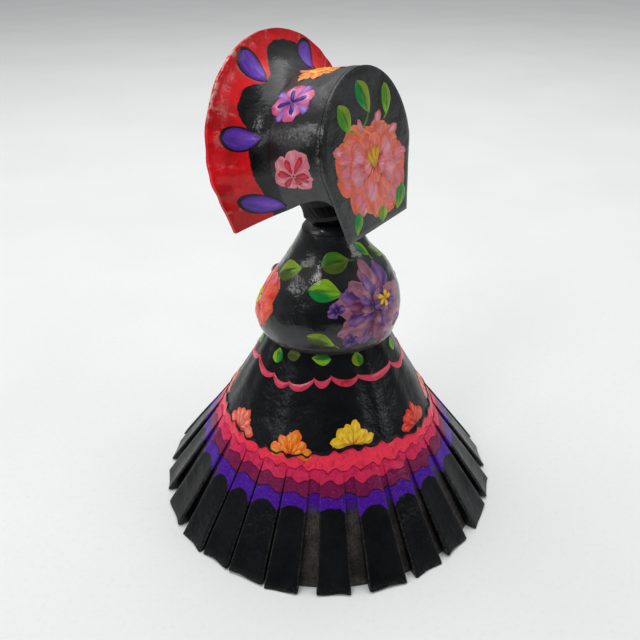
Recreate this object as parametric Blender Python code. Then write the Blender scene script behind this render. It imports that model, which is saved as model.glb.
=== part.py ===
"""Papier-mache catrina: pleated skirt, rounded bodice, skull head turned to its left in a flared bonnet.

Metres, +Z up. The figure stands on the origin and its body faces -Y. Dimensions below are in millimetres.
"""

import math

import bmesh
import bpy

MM = 0.001
GAP = 0.35

# Skirt: a straight cone of thin board closed underneath by a disc.
SKIRT_FOOT_R = 118.75
SKIRT_SLOPE = 1.607
SKIRT_WAIST_SWELL = 3.6
SKIRT_SWELL_Z = 122.0
SKIRT_TOP_Z = 130.0
SKIRT_WAIST_DEPTH = 0.86
SKIRT_WALL = 3.0
SKIRT_SIDES = 96
DISC_THICK = 3.0

# Flounce of flat pleats glued round the lower skirt. Gaps are the angles between neighbours, in degrees.
PLEAT_COUNT = 24
PLEAT_TOP_Z = 64.0
PLEAT_RISE = 6.6
PLEAT_BOARD = 1.8
PLEAT_FIRST_DEG = 86.2
PLEAT_WIDE_DEG = 12.0
PLEAT_NARROW_DEG = 10.4
GAP_WIDE_DEG = 5.2
GAP_NARROW_DEG = 3.1
GAP_SHUT_DEG = 0.75

# Bodice with the arms wrapped in: (height, radius, sideways shift) of its outline.
BODICE_OUTLINE = (
    (130.4, 43.4, 0.4),
    (131.6, 45.4, 0.4),
    (134.0, 47.1, 0.4),
    (138.0, 48.4, 0.5),
    (146.0, 49.8, 0.3),
    (156.0, 48.0, -1.5),
    (166.0, 44.2, -3.1),
    (174.0, 39.8, -4.2),
    (181.0, 35.2, -4.4),
    (187.0, 30.1, -3.3),
    (193.0, 25.9, -2.4),
    (199.0, 22.6, -2.0),
    (206.0, 19.2, -1.6),
)
BODICE_DEPTH = 0.9
BODICE_WALL = 3.0
BODICE_NECK_WALL = 7.0
BODICE_SIDES = 48

POST_R = 4.0
POST_TOP_Z = 232.0
BORE_R = 4.4

# Bonnet: its frame sits at the middle of the back panel's lower edge, and the head shares it.
HEAD_TURN_DEG = 53.8
HEAD_BOW_DEG = 10.7
HEAD_LEAN_DEG = 1.6
BONNET_AT = (-32.75, 14.0, 212.1)
CROWN_HALF = 47.75
CROWN_FOOT_HALF = 33.5
CROWN_SPRING = 46.1
CROWN_RISE = 50.75
CROWN_DEPTH = 38.5
CROWN_EAR_Z = 25.8
CROWN_FRONT_Z = 22.4
CROWN_EAR_ARCH = 5.0
BRIM_HALF = 72.8
BRIM_FOOT_HALF = 59.4
BRIM_FOOT_Z = 14.0
BRIM_SPRING = 49.8
BRIM_RISE = 73.6
BRIM_REACH = 63.75
BOARD = 2.4

SKULL_AT = (3.0, -38.0, 52.0)
SKULL_HALF_WIDTH = 29.0
SKULL_HALF_DEPTH = 28.5
SKULL_HALF_HEIGHT = 39.5
HAIR_FROM_DEG = 68.0
HAIR_GAP = 0.7
NAPE_AT = (6.5, -33.0)


def clear_scene():
    for obj in list(bpy.data.objects):
        bpy.data.objects.remove(obj)


def material(name, colour, roughness, metallic=0.0):
    made = bpy.data.materials.new(name)
    made.use_nodes = True
    shader = made.node_tree.nodes["Principled BSDF"]
    shader.inputs["Base Color"].default_value = (*colour, 1.0)
    shader.inputs["Roughness"].default_value = roughness
    shader.inputs["Metallic"].default_value = metallic
    made.diffuse_color = (*colour, 1.0)
    return made


def finish(obj, mat, sharp_deg=35.0):
    obj.data.materials.append(mat)
    obj.data.shade_smooth()
    obj.data.set_sharp_from_angle(angle=math.radians(sharp_deg))
    return obj


def place_in_bonnet(obj):
    obj.rotation_mode = "YXZ"
    turn = (HEAD_BOW_DEG, HEAD_LEAN_DEG, HEAD_TURN_DEG)
    obj.rotation_euler = [math.radians(angle) for angle in turn]
    obj.location = [value * MM for value in BONNET_AT]
    return obj


def object_from_rows(name, rows, wrap, caps):
    """One mesh from rows of points in millimetres, joined row to row, with its ends filled when caps is set."""
    grid = bmesh.new()
    verts = [[grid.verts.new([value * MM for value in point]) for point in row] for row in rows]
    across = len(rows[0])
    for lower, upper in zip(verts, verts[1:]):
        for i in range(across if wrap else across - 1):
            j = (i + 1) % across
            grid.faces.new((lower[i], lower[j], upper[j], upper[i]))
    if caps:
        grid.faces.new(verts[0])
        grid.faces.new(verts[-1])
    return object_from_bmesh(name, grid)


def object_from_bmesh(name, grid):
    bmesh.ops.recalc_face_normals(grid, faces=grid.faces)
    mesh = bpy.data.meshes.new(name)
    grid.to_mesh(mesh)
    grid.free()
    obj = bpy.data.objects.new(name, mesh)
    bpy.context.scene.collection.objects.link(obj)
    return obj


def sheet_from_rows(name, outer, inner, wrap):
    """A closed wall between two matching grids of points. wrap joins the last column to the first."""
    grid = bmesh.new()
    outside = [[grid.verts.new([value * MM for value in point]) for point in row] for row in outer]
    inside = [[grid.verts.new([value * MM for value in point]) for point in row] for row in inner]
    across = len(outer[0])
    for side in (outside, inside):
        for lower, upper in zip(side, side[1:]):
            for i in range(across if wrap else across - 1):
                j = (i + 1) % across
                grid.faces.new((lower[i], lower[j], upper[j], upper[i]))
    for row in (0, -1):
        for i in range(across if wrap else across - 1):
            j = (i + 1) % across
            grid.faces.new((outside[row][i], outside[row][j], inside[row][j], inside[row][i]))
    if not wrap:
        for column in (0, -1):
            for k in range(len(outer) - 1):
                lower = (outside[k][column], inside[k][column])
                upper = (outside[k + 1][column], inside[k + 1][column])
                grid.faces.new((lower[0], lower[1], upper[1], upper[0]))
    return object_from_bmesh(name, grid)


def ring(radius, z, sides, depth=1.0, shift=0.0):
    points = []
    for i in range(sides):
        angle = 2 * math.pi * i / sides
        points.append((shift + radius * math.cos(angle), depth * radius * math.sin(angle), z))
    return points


def skirt_radius(z):
    return SKIRT_FOOT_R - z / SKIRT_SLOPE + SKIRT_WAIST_SWELL * (z / SKIRT_SWELL_Z) ** 3


def skirt_depth(z):
    """Share of the skirt's width that its depth keeps, as it flattens towards the waist."""
    t = min(1.0, max(0.0, (z - PLEAT_TOP_Z) / (SKIRT_TOP_Z - PLEAT_TOP_Z)))
    return 1.0 - (1.0 - SKIRT_WAIST_DEPTH) * t * t * (3.0 - 2.0 * t)


def skirt_across(thickness):
    """Level distance through a layer of this thickness lying on the skirt."""
    return thickness * math.hypot(1.0, SKIRT_SLOPE) / SKIRT_SLOPE


def on_skirt(angle, z, lift):
    """A point at this height, out of the skirt's surface by the level distance through a layer of lift."""
    radius = skirt_radius(z) + skirt_across(lift)
    return (radius * math.cos(angle), radius * math.sin(angle), z)


def build_skirt(mat):
    levels = (0.0, 30.0, 60.0, 76.0, 86.0, 95.0, 104.0, 113.0, 122.0, SKIRT_TOP_Z)
    wall = skirt_across(SKIRT_WALL)
    outer = [ring(skirt_radius(z), z, SKIRT_SIDES, skirt_depth(z)) for z in levels]
    inner = [ring(skirt_radius(z) - wall, z, SKIRT_SIDES, skirt_depth(z)) for z in levels]
    finish(sheet_from_rows("skirt_cone", outer, inner, True), mat)


def build_base(mat):
    inner = skirt_across(SKIRT_WALL) + 2 * GAP
    low = ring(skirt_radius(0.0) - inner, 0.0, SKIRT_SIDES)
    high = ring(skirt_radius(DISC_THICK) - inner, DISC_THICK, SKIRT_SIDES)
    finish(object_from_rows("base_disc", (low, high), True, True), mat)


def pleat_spans():
    """Start angle and width of every pleat, anticlockwise from the one in the middle of the back."""
    spans = []
    start = PLEAT_FIRST_DEG
    gaps = (GAP_WIDE_DEG, GAP_NARROW_DEG, GAP_NARROW_DEG, GAP_WIDE_DEG, GAP_NARROW_DEG, GAP_WIDE_DEG)
    widths = (PLEAT_NARROW_DEG, PLEAT_WIDE_DEG, PLEAT_NARROW_DEG)
    shut = (20, 21, 22)
    for i in range(PLEAT_COUNT):
        width = widths[i % len(widths)]
        gap = GAP_SHUT_DEG if i in shut else gaps[i % len(gaps)]
        spans.append([start, width, gap])
        start += width + gap
    stretch = 360.0 / (start - PLEAT_FIRST_DEG)
    return [
        (PLEAT_FIRST_DEG + (begin - PLEAT_FIRST_DEG) * stretch, width * stretch)
        for begin, width, _ in spans
    ]


def pleat_section(top):
    """Half widths and heights of a pleat's outside and inside, over the skirt."""
    roof = max(GAP, top - PLEAT_BOARD)
    outside = (
        (-1.0, GAP),
        (-1.0, max(GAP + 0.2, top - 1.3)),
        (-0.93, max(GAP + 0.4, top - 0.35)),
        (-0.78, top),
        (0.0, top - 0.12 * top),
        (0.78, top),
        (0.93, max(GAP + 0.4, top - 0.35)),
        (1.0, max(GAP + 0.2, top - 1.3)),
        (1.0, GAP),
    )
    inside = (
        (-0.86, GAP),
        (-0.85, max(GAP, roof - 1.1)),
        (-0.8, max(GAP, roof - 0.4)),
        (-0.7, roof),
        (0.0, max(GAP, roof - 0.12 * top)),
        (0.7, roof),
        (0.8, max(GAP, roof - 0.4)),
        (0.85, max(GAP, roof - 1.1)),
        (0.86, GAP),
    )
    return outside, inside


def build_pleat(index, begin, width, mat):
    middle = math.radians(begin + width / 2)
    half = math.radians(width / 2)
    foot = 0.9 + 0.5 * math.sin(2.4 * index)
    steps = 5
    outer = []
    inner = []
    for k in range(steps + 1):
        share = k / steps
        z = foot + (PLEAT_TOP_Z - foot) * share
        top = 1.3 + (PLEAT_RISE + 0.5 * math.sin(1.7 * index) - 1.3) * (1.0 - share)
        outside, inside = pleat_section(top)
        outer.append([on_skirt(middle + half * u, z, lift) for u, lift in outside])
        inner.append([on_skirt(middle + half * u, z, lift) for u, lift in inside])
    name = f"pleat_{index + 1:02d}"
    finish(sheet_from_rows(name, outer, inner, False), mat, 50.0)


def build_bodice(mat):
    outer = [ring(r, z, BODICE_SIDES, BODICE_DEPTH, shift) for z, r, shift in BODICE_OUTLINE]
    inner = []
    for z, r, shift in BODICE_OUTLINE:
        wall = BODICE_WALL + BODICE_NECK_WALL * max(0.0, (z - 181.0) / 25.0)
        inner.append(ring(r - wall, z, BODICE_SIDES, BODICE_DEPTH, shift))
    finish(sheet_from_rows("bodice", outer, inner, True), mat)


def build_post(mat):
    low = ring(POST_R, DISC_THICK + GAP, 24)
    high = ring(POST_R, POST_TOP_Z, 24)
    finish(object_from_rows("armature_post", (low, high), True, True), mat)


def build_neck(mat):
    levels = ((206.4, 19.0), (208.6, 17.6), (210.6, 15.6), (212.0, 12.4), (216.0, 10.2))
    outer = [ring(r, z, 32, BODICE_DEPTH, -1.6) for z, r in levels]
    inner = [ring(BORE_R, z, 32) for z, _ in levels]
    finish(sheet_from_rows("neck", outer, inner, True), mat)


def bonnet_arch(half, foot_half, spring, rise, foot, sweep):
    """Outline of the bonnet from its left foot over the top to its right foot, as (x, z)."""
    points = []
    for step in range(4):
        share = step / 4
        low = foot_half + (half - foot_half) * foot / spring
        points.append((low + (half - low) * share, foot + (spring - foot) * share))
    for step in range(sweep + 1):
        angle = math.pi * step / sweep
        points.append((half * math.cos(angle), spring + rise * math.sin(angle)))
    return points + [(-x, z) for x, z in reversed(points[:4])]


def arch_at(inset, foot):
    """The crown's cross-section, this far inside its outer face."""
    return bonnet_arch(
        CROWN_HALF - inset,
        CROWN_FOOT_HALF - inset,
        CROWN_SPRING,
        CROWN_RISE - inset,
        foot,
        24,
    )


def build_back_panel(mat):
    outline = [(x, z) for x, z in bonnet_arch(CROWN_HALF, CROWN_FOOT_HALF, CROWN_SPRING, CROWN_RISE, 0.0, 24)]
    rows = [[(x, y, z) for x, z in outline] for y in (0.0, -BOARD)]
    panel = object_from_rows("bonnet_back_panel", rows, True, True)
    place_in_bonnet(finish(panel, mat))


def build_crown(mat):
    back = -(BOARD + GAP)
    steps = 4
    outer = []
    inner = []
    for k in range(steps + 1):
        share = k / steps
        foot = CROWN_EAR_Z + (CROWN_FRONT_Z - CROWN_EAR_Z) * share
        foot += CROWN_EAR_ARCH * math.sin(math.pi * share ** 0.6)
        y = back - (CROWN_DEPTH + back) * share
        outer.append([(x, y, z) for x, z in arch_at(0.0, foot)])
        inner.append([(x, y, z) for x, z in arch_at(BOARD, foot)])
    place_in_bonnet(finish(sheet_from_rows("bonnet_crown", outer, inner, False), mat))


def build_brim(mat):
    steps = 7
    outer = []
    inner = []
    for k in range(steps + 1):
        turn = math.pi / 2 * k / steps
        spread = 1.0 - math.cos(turn)
        reach = math.sin(turn)
        near = (CROWN_HALF, CROWN_FOOT_HALF, CROWN_SPRING, CROWN_RISE)
        far = (BRIM_HALF, BRIM_FOOT_HALF, BRIM_SPRING, BRIM_RISE)
        shape = [a + (b - a) * spread for a, b in zip(near, far)]
        foot = CROWN_FRONT_Z + (BRIM_FOOT_Z - CROWN_FRONT_Z) * reach
        y = -(CROWN_DEPTH + GAP) - (BRIM_REACH - CROWN_DEPTH - GAP) * reach
        row = bonnet_arch(*shape, foot, 24)
        outer.append([(x, y, z) for x, z in row])
        inside = []
        for x, z in row:
            inset = BOARD * math.cos(turn) / math.hypot(x, z - CROWN_SPRING)
            inside.append((x * (1.0 - inset), y - BOARD * reach, z - (z - CROWN_SPRING) * inset))
        inner.append(inside)
    place_in_bonnet(finish(sheet_from_rows("bonnet_brim", outer, inner, False), mat))


def skull_point(side, up):
    """A point of the head's surface from two angles: round its height, then up from its middle."""
    x = math.cos(up) * math.sin(side)
    y = -math.cos(up) * math.cos(side)
    z = math.sin(up)
    jaw = max(0.0, -z)
    wide = SKULL_HALF_WIDTH * (1.0 - 0.34 * jaw ** 1.3)
    deep = SKULL_HALF_DEPTH * (1.0 - (0.1 if y < 0 else 0.02) * jaw ** 1.5)
    cheek = 1.0 + 0.05 * math.exp(-((up + 0.25) / 0.22) ** 2) * max(0.0, -y) ** 2
    forward = -3.0 * jaw
    return (
        SKULL_AT[0] + wide * x * cheek,
        SKULL_AT[1] + deep * y + forward,
        SKULL_AT[2] + SKULL_HALF_HEIGHT * z,
    )


def build_skull(mat):
    sides = 32
    bands = 18
    rows = []
    for k in range(1, bands):
        up = -math.pi / 2 + math.pi * k / bands
        rows.append([skull_point(2 * math.pi * i / sides, up) for i in range(sides)])
    skull = object_from_rows("skull", rows, True, True)
    place_in_bonnet(skull)
    cutters = []
    for side in (-1, 1):
        eye = (SKULL_AT[0] + side * 11.5, SKULL_AT[1] - SKULL_HALF_DEPTH + 0.5, SKULL_AT[2] - 1.0)
        cutters.append(ball("eye_cutter", 7.6, eye, (1.0, 0.75, 0.95)))
    nose = (SKULL_AT[0], SKULL_AT[1] - SKULL_HALF_DEPTH + 0.5, SKULL_AT[2] - 13.5)
    cutters.append(ball("nose_cutter", 4.0, nose, (0.75, 1.0, 1.1)))
    for cutter in cutters:
        place_in_bonnet(cutter)
        cut_away(skull, cutter)
    bore_low = ring(BORE_R, 190.0, 24)
    bore_high = ring(BORE_R, POST_TOP_Z + 2.0, 24)
    bore = object_from_rows("post_socket_cutter", (bore_low, bore_high), True, True)
    cut_away(skull, bore)
    finish(skull, mat)


def ball(name, radius, at, scale):
    grid = bmesh.new()
    bmesh.ops.create_uvsphere(grid, u_segments=16, v_segments=10, radius=radius * MM)
    for vert in grid.verts:
        vert.co = [value * factor + offset * MM for value, factor, offset in zip(vert.co, scale, at)]
    return object_from_bmesh(name, grid)


def cut_away(obj, cutter):
    cutter.hide_render = True
    cutter.display_type = "WIRE"
    boolean = obj.modifiers.new(cutter.name, "BOOLEAN")
    boolean.operation = "DIFFERENCE"
    boolean.solver = "EXACT"
    boolean.object = cutter


def bodice_radius(z):
    for (low, r_low, _), (high, r_high, _) in zip(BODICE_OUTLINE, BODICE_OUTLINE[1:]):
        if z <= high:
            return r_low + (r_high - r_low) * (z - low) / (high - low)
    return BODICE_OUTLINE[-1][1]


def build_hair(mat):
    """Hair fitted round the back and sides of the head, gathered in to the nape."""
    locks = ((70, 2.0), (54, 3.0), (38, 3.8), (20, 4.4), (2, 5.0), (-16, 6.2), (-32, 7.8), (-46, 9.8), (-58, 11.6))
    columns = 22
    outer = []
    inner = []
    for up_deg, thick in locks:
        outer_row = []
        inner_row = []
        for i in range(columns + 1):
            side = math.radians(HAIR_FROM_DEG + (360.0 - 2.0 * HAIR_FROM_DEG) * i / columns)
            x, y, z = skull_point(side, math.radians(up_deg))
            out = (math.sin(side), -math.cos(side))
            taper = 1.0 - (2.0 * i / columns - 1.0) ** 6 * 0.8 - 0.3 * max(0.0, out[1]) ** 2
            near = HAIR_GAP
            far = HAIR_GAP + 1.0 + (thick - 1.0) * taper
            inner_row.append((x + near * out[0], y + near * out[1], z))
            outer_row.append((x + far * out[0], y + far * out[1], z))
        outer.append(outer_row)
        inner.append(inner_row)
    for z, near, far in ((12.5, 13.2, 20.0), (9.2, 13.4, 17.6)):
        outer_row = []
        inner_row = []
        for i in range(columns + 1):
            side = math.radians(HAIR_FROM_DEG + (360.0 - 2.0 * HAIR_FROM_DEG) * i / columns)
            out = (math.sin(side), -math.cos(side))
            inner_row.append((NAPE_AT[0] + near * out[0], NAPE_AT[1] + near * out[1], z))
            outer_row.append((NAPE_AT[0] + far * out[0], NAPE_AT[1] + far * out[1], z))
        outer.append(outer_row)
        inner.append(inner_row)
    place_in_bonnet(finish(sheet_from_rows("hair", outer, inner, False), mat, 60.0))


def tube_along(name, path, sides):
    """A round solid through (point, radius) stations, its rings square to the path."""
    rows = []
    for k, (at, radius) in enumerate(path):
        before = path[max(0, k - 1)][0]
        after = path[min(len(path) - 1, k + 1)][0]
        run = [b - a for a, b in zip(before, after)]
        length = math.sqrt(sum(value * value for value in run))
        along = [value / length for value in run]
        flat = math.hypot(along[0], along[1])
        across = (-along[1] / flat, along[0] / flat, 0.0)
        rise = (
            along[1] * across[2] - along[2] * across[1],
            along[2] * across[0] - along[0] * across[2],
            along[0] * across[1] - along[1] * across[0],
        )
        row = []
        for i in range(sides):
            angle = 2 * math.pi * i / sides
            c = radius * math.cos(angle)
            s = radius * math.sin(angle)
            row.append([at[n] + c * across[n] + s * rise[n] for n in range(3)])
        rows.append(row)
    return object_from_rows(name, rows, True, True)


def front_point(angle_deg, z, lift):
    angle = math.radians(angle_deg)
    radius = bodice_radius(z) + lift
    return (radius * math.cos(angle), BODICE_DEPTH * radius * math.sin(angle), z)


def build_arm(side, sleeve_mat, bone_mat):
    word = "left" if side > 0 else "right"
    sleeve = []
    for share, radius in ((0.0, 4.0), (0.12, 7.0), (0.5, 7.6), (0.85, 7.8), (1.0, 8.4)):
        angle = 50.0 + 20.0 * share
        at = front_point(-angle, 152.0 - 5.0 * share, radius * 1.12 + 1.2)
        sleeve.append(((side * at[0], at[1], at[2]), radius))
    finish(tube_along(f"sleeve_{word}", sleeve, 16), sleeve_mat)
    build_hand(side, word, bone_mat)


def build_hand(side, word, mat):
    """A skeleton hand laid against the front of the bodice, fingers towards the middle."""
    wrist = front_point(-71.2, 146.6, 9.0)
    knuckle = front_point(-79.0, 145.2, 9.2)
    wrist = (side * wrist[0], wrist[1], wrist[2])
    knuckle = (side * knuckle[0], knuckle[1], knuckle[2])
    palm = tube_along(
        f"hand_{word}",
        ((wrist, 3.2), ([(a + b) / 2 for a, b in zip(wrist, knuckle)], 4.6), (knuckle, 4.4)),
        12,
    )
    for number in range(4):
        up = 3.6 - 2.4 * number
        start = (knuckle[0] + side * 1.5, knuckle[1] + 0.2, knuckle[2] + up * 0.9)
        middle = (knuckle[0] - side * 3.4, knuckle[1] - 0.9, knuckle[2] + up * 1.15)
        end = (side * 1.9, knuckle[1] + 0.6, knuckle[2] + up * 1.2 - 0.6)
        finger = tube_along("finger", ((start, 1.25), (middle, 1.35), (end, 0.9)), 8)
        finger.hide_render = True
        finger.display_type = "WIRE"
        join = palm.modifiers.new(f"finger_{number}", "BOOLEAN")
        join.operation = "UNION"
        join.solver = "EXACT"
        join.object = finger
    finish(palm, mat)


def main():
    clear_scene()
    black = material("black_paint", (0.012, 0.012, 0.014), 0.28)
    board = material("bare_board", (0.36, 0.28, 0.2), 0.85)
    bone = material("bone_paint", (0.78, 0.72, 0.6), 0.45)
    hair = material("hair_matte", (0.008, 0.007, 0.007), 0.8)
    red = material("red_paint", (0.62, 0.03, 0.05), 0.35)
    wood = material("post_wood", (0.5, 0.36, 0.22), 0.7)
    build_base(board)
    build_skirt(black)
    for index, (begin, width) in enumerate(pleat_spans()):
        build_pleat(index, begin, width, black)
    build_bodice(black)
    build_post(wood)
    build_neck(black)
    build_skull(bone)
    build_hair(hair)
    build_back_panel(black)
    build_crown(black)
    build_brim(red)
    for side in (-1, 1):
        build_arm(side, black, bone)


main()
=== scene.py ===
"""Looks of the papier-mache catrina: painted skirt, pleats, bodice, flowered bonnet and sugar-skull head."""

import math
from collections import namedtuple

import bmesh
import bpy
import numpy as np
from mathutils import Euler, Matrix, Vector


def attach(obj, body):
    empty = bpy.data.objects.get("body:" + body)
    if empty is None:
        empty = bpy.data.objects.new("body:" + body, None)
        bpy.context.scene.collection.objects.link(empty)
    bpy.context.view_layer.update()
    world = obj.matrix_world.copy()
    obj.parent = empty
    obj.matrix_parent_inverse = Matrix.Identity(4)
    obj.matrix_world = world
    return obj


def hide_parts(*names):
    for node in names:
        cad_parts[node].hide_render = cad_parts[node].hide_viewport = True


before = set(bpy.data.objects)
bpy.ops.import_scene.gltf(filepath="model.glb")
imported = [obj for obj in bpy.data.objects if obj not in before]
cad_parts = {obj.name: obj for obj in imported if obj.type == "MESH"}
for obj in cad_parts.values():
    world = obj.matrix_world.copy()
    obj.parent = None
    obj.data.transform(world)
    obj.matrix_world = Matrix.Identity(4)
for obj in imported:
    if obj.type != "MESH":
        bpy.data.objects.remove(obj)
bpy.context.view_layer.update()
MM = 0.001
GAP = 0.35
LATTICE = np.random.default_rng(11).random((32, 32, 32))


# ---------------------------------------------------------------- numbers and noise
def smooth(x, low, high):
    """0 up to low, 1 from high, with an easy run between them."""
    t = np.clip((np.asarray(x, float) - low) / (high - low), 0.0, 1.0)
    return t * t * (3.0 - 2.0 * t)


def noise(points, size, seed):
    """Smooth lattice noise from -1 to 1 at these points."""
    p = np.asarray(points, float) / size + seed * 5.37
    cell = np.floor(p).astype(int)
    f = p - cell
    f = f * f * (3.0 - 2.0 * f)
    total = np.zeros(p.shape[:-1])
    for corner in range(8):
        step = np.array([(corner >> k) & 1 for k in range(3)])
        weight = np.prod(np.where(step, f, 1.0 - f), axis=-1)
        at = (cell + step) % 32
        total += weight * LATTICE[at[..., 0], at[..., 1], at[..., 2]]
    return 2.0 * total - 1.0


def lumps(points, size, seed):
    """Uneven hand-laid paper: lumps of this size with smaller ones on them."""
    return noise(points, size, seed) + 0.5 * noise(points, size / 2.3, seed + 1)


def curve_through(x, xs, ys):
    """Smooth curve through the stations (xs, ys)."""
    xs = np.asarray(xs, float)
    ys = np.asarray(ys, float)
    slope = np.gradient(ys, xs)
    i = np.clip(np.searchsorted(xs, x) - 1, 0, len(xs) - 2)
    h = xs[i + 1] - xs[i]
    t = (x - xs[i]) / h
    a = (1 + 2 * t) * (1 - t) ** 2
    b = t * (1 - t) ** 2
    c = t * t * (3 - 2 * t)
    d = t * t * (t - 1)
    return a * ys[i] + b * h * slope[i] + c * ys[i + 1] + d * h * slope[i + 1]


def push_out(at, angle, amount):
    """Move points level, away from the axis, by this amount."""
    at[..., 0] += amount * np.cos(angle)
    at[..., 1] += amount * np.sin(angle)
    return at


def ring_at(x, radius, depth, angle, z):
    """Points of a ring at height z, flattened by depth, its middle shifted sideways by x."""
    return np.stack([x + radius * np.cos(angle), depth * radius * np.sin(angle), z + 0 * angle], -1)


def rgb(red, green, blue):
    """A display colour as linear light."""
    return np.array([((v + 0.055) / 1.055) ** 2.4 if v > 0.04 else v / 12.92 for v in (red, green, blue)])


# ---------------------------------------------------------------- surfaces, in millimetres
SKIRT_HEM_R = 118.75
SKIRT_SLOPE = 1.607
SKIRT_SWELL = 3.6
SKIRT_SWELL_Z = 122.0
SKIRT_TOP = 130.0
WAIST_FLATTENING = 0.14
PLEAT_TOP = 64.0


def skirt_radius(z):
    """A cone that swells a little towards the waist."""
    return SKIRT_HEM_R - z / SKIRT_SLOPE + SKIRT_SWELL * (z / SKIRT_SWELL_Z) ** 3


def skirt_depth(z):
    """Front-to-back share of the radius: round at the pleats, flatter at the waist."""
    return 1.0 - WAIST_FLATTENING * smooth(z, PLEAT_TOP, SKIRT_TOP)


def skirt_surface(deg, z):
    angle = np.radians(deg)
    at = ring_at(0.0, skirt_radius(z), skirt_depth(z), angle, z)
    dent = 0.35 * lumps(at, 31.0, 1) + 0.3 * np.cos(17 * angle + 1.3 * np.sin(3 * angle))
    return push_out(at, angle, dent * smooth(z, 0, 12))


BODICE_Z = (130.4, 131.6, 134.0, 138.0, 146.0, 156.0, 166.0, 174.0, 181.0, 187.0, 193.0, 199.0, 206.0)
BODICE_R = (43.4, 45.4, 47.1, 48.4, 49.8, 48.0, 44.2, 39.8, 35.2, 30.1, 25.9, 22.6, 19.2)
BODICE_X = (0.4, 0.4, 0.4, 0.5, 0.3, -1.5, -3.1, -4.2, -4.4, -3.3, -2.4, -2.0, -1.6)
BODICE_DEPTH = 0.9
BODICE_FOOT = BODICE_Z[0]
BODICE_TOP = BODICE_Z[-1]


def bodice_surface(deg, z):
    angle = np.radians(deg)
    z = z + 0 * angle
    r = curve_through(z, BODICE_Z, BODICE_R)
    x = curve_through(z, BODICE_Z, BODICE_X)
    at = ring_at(x, r, BODICE_DEPTH, angle, z)
    dent = 0.8 * lumps(at, 19.0, 5) * smooth(z, 130, 136) * (1 - 0.6 * smooth(z, 190, 206))
    return push_out(at, angle, dent)


BONNET_TURN = np.array(Euler([math.radians(v) for v in (10.7, 1.6, 53.8)], "YXZ").to_matrix())
BONNET_AT = np.array((-32.75, 14.0, 212.1))
CROWN = (47.75, 33.5, 46.1, 50.75)
BRIM = (72.8, 59.4, 49.8, 73.6)
CROWN_START = 2.75
CROWN_DEPTH = 38.5
CROWN_WALL = 2.4
BRIM_RUN = 38.0
BRIM_REACH = 24.9
BRIM_WALL = 2.3
FOOT_SWEEP = 0.6


def bonnet_to_world(at):
    """From the head's own frame, with the bonnet's back in the plane y = 0, to the figure's."""
    return at @ BONNET_TURN.T + BONNET_AT


def arch(theta, half, foot_half, spring, rise, foot):
    """Bonnet outline: theta from -FOOT_SWEEP at the wearer's left foot, over the top, to pi + FOOT_SWEEP."""
    low = foot_half + (half - foot_half) * foot / spring
    below = np.clip(np.maximum(-theta, theta - math.pi), 0, FOOT_SWEEP) / FOOT_SWEEP
    side = np.where(theta > math.pi / 2, -1.0, 1.0)
    on = np.clip(theta, 0, math.pi)
    x = np.where(below > 0, side * (half + (low - half) * below), half * np.cos(on))
    z = np.where(below > 0, spring + (foot - spring) * below, spring + rise * np.sin(on))
    return x, z


def hat_local(theta, run):
    """Crown from CROWN_START to CROWN_DEPTH, then the brim flaring out over BRIM_RUN."""
    theta, run = np.broadcast_arrays(np.asarray(theta, float), np.asarray(run, float))
    share = np.clip((run - CROWN_START) / (CROWN_DEPTH - CROWN_START), 0, 1)
    foot = 25.8 - 3.4 * share + 5.0 * np.sin(math.pi * share ** 0.6)
    turn = np.clip((run - CROWN_DEPTH) / BRIM_RUN, 0, 1) * math.pi / 2
    spread = 1 - np.cos(turn)
    reach = np.sin(turn)
    foot = np.where(turn > 0, 22.4 - 8.4 * reach, foot)
    shape = [a + (b - a) * spread for a, b in zip(CROWN, BRIM)]
    x, z = arch(theta, *shape, foot)
    y = np.where(turn > 0, -CROWN_DEPTH - GAP - BRIM_REACH * reach, -run * (1 + GAP / CROWN_DEPTH))
    at = np.stack([x, y, z], -1)
    dent = 0.3 * lumps(at, 17.0, 9) * smooth(run, CROWN_START, 8)
    crease = 0.35 * spread * np.sin(23 * theta + 2.0 * np.sin(5 * theta))
    out = np.stack([np.cos(theta), 0 * theta, np.sin(theta)], -1)
    at = at + out * (dent * (1 - spread))[..., None]
    at[..., 1] += crease + dent * spread
    return at


def hat_surface(theta, run):
    return bonnet_to_world(hat_local(theta, run))


def panel_surface(x, z):
    x, z = np.broadcast_arrays(np.asarray(x, float), np.asarray(z, float))
    at = np.stack([x, 0 * x, z], -1)
    at[..., 1] = 0.25 * lumps(at, 23.0, 13)
    return bonnet_to_world(at)


SKULL_AT = (3.0, -38.0, 52.0)


def head_shell(side_deg, up_deg):
    """(points, outward directions) of the smooth egg of the head, before any feature is modelled."""
    side = np.radians(side_deg)
    up = np.radians(up_deg)
    x = np.cos(up) * np.sin(side)
    y = -np.cos(up) * np.cos(side)
    z = np.sin(up) + 0 * side
    jaw = np.maximum(0.0, -z)
    wide = 29.0 * (1 - 0.34 * jaw ** 1.3)
    deep = 28.5 * (1 - np.where(y < 0, 0.1, 0.02) * jaw ** 1.5)
    cheek = 1 + 0.05 * np.exp(-((up + 0.25) / 0.22) ** 2) * np.maximum(0.0, -y) ** 2
    away = np.stack([wide * x * cheek, deep * y - 3.0 * jaw, 39.5 * z], -1)
    return np.array(SKULL_AT) + away, np.stack([x, y, z], -1)


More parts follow.
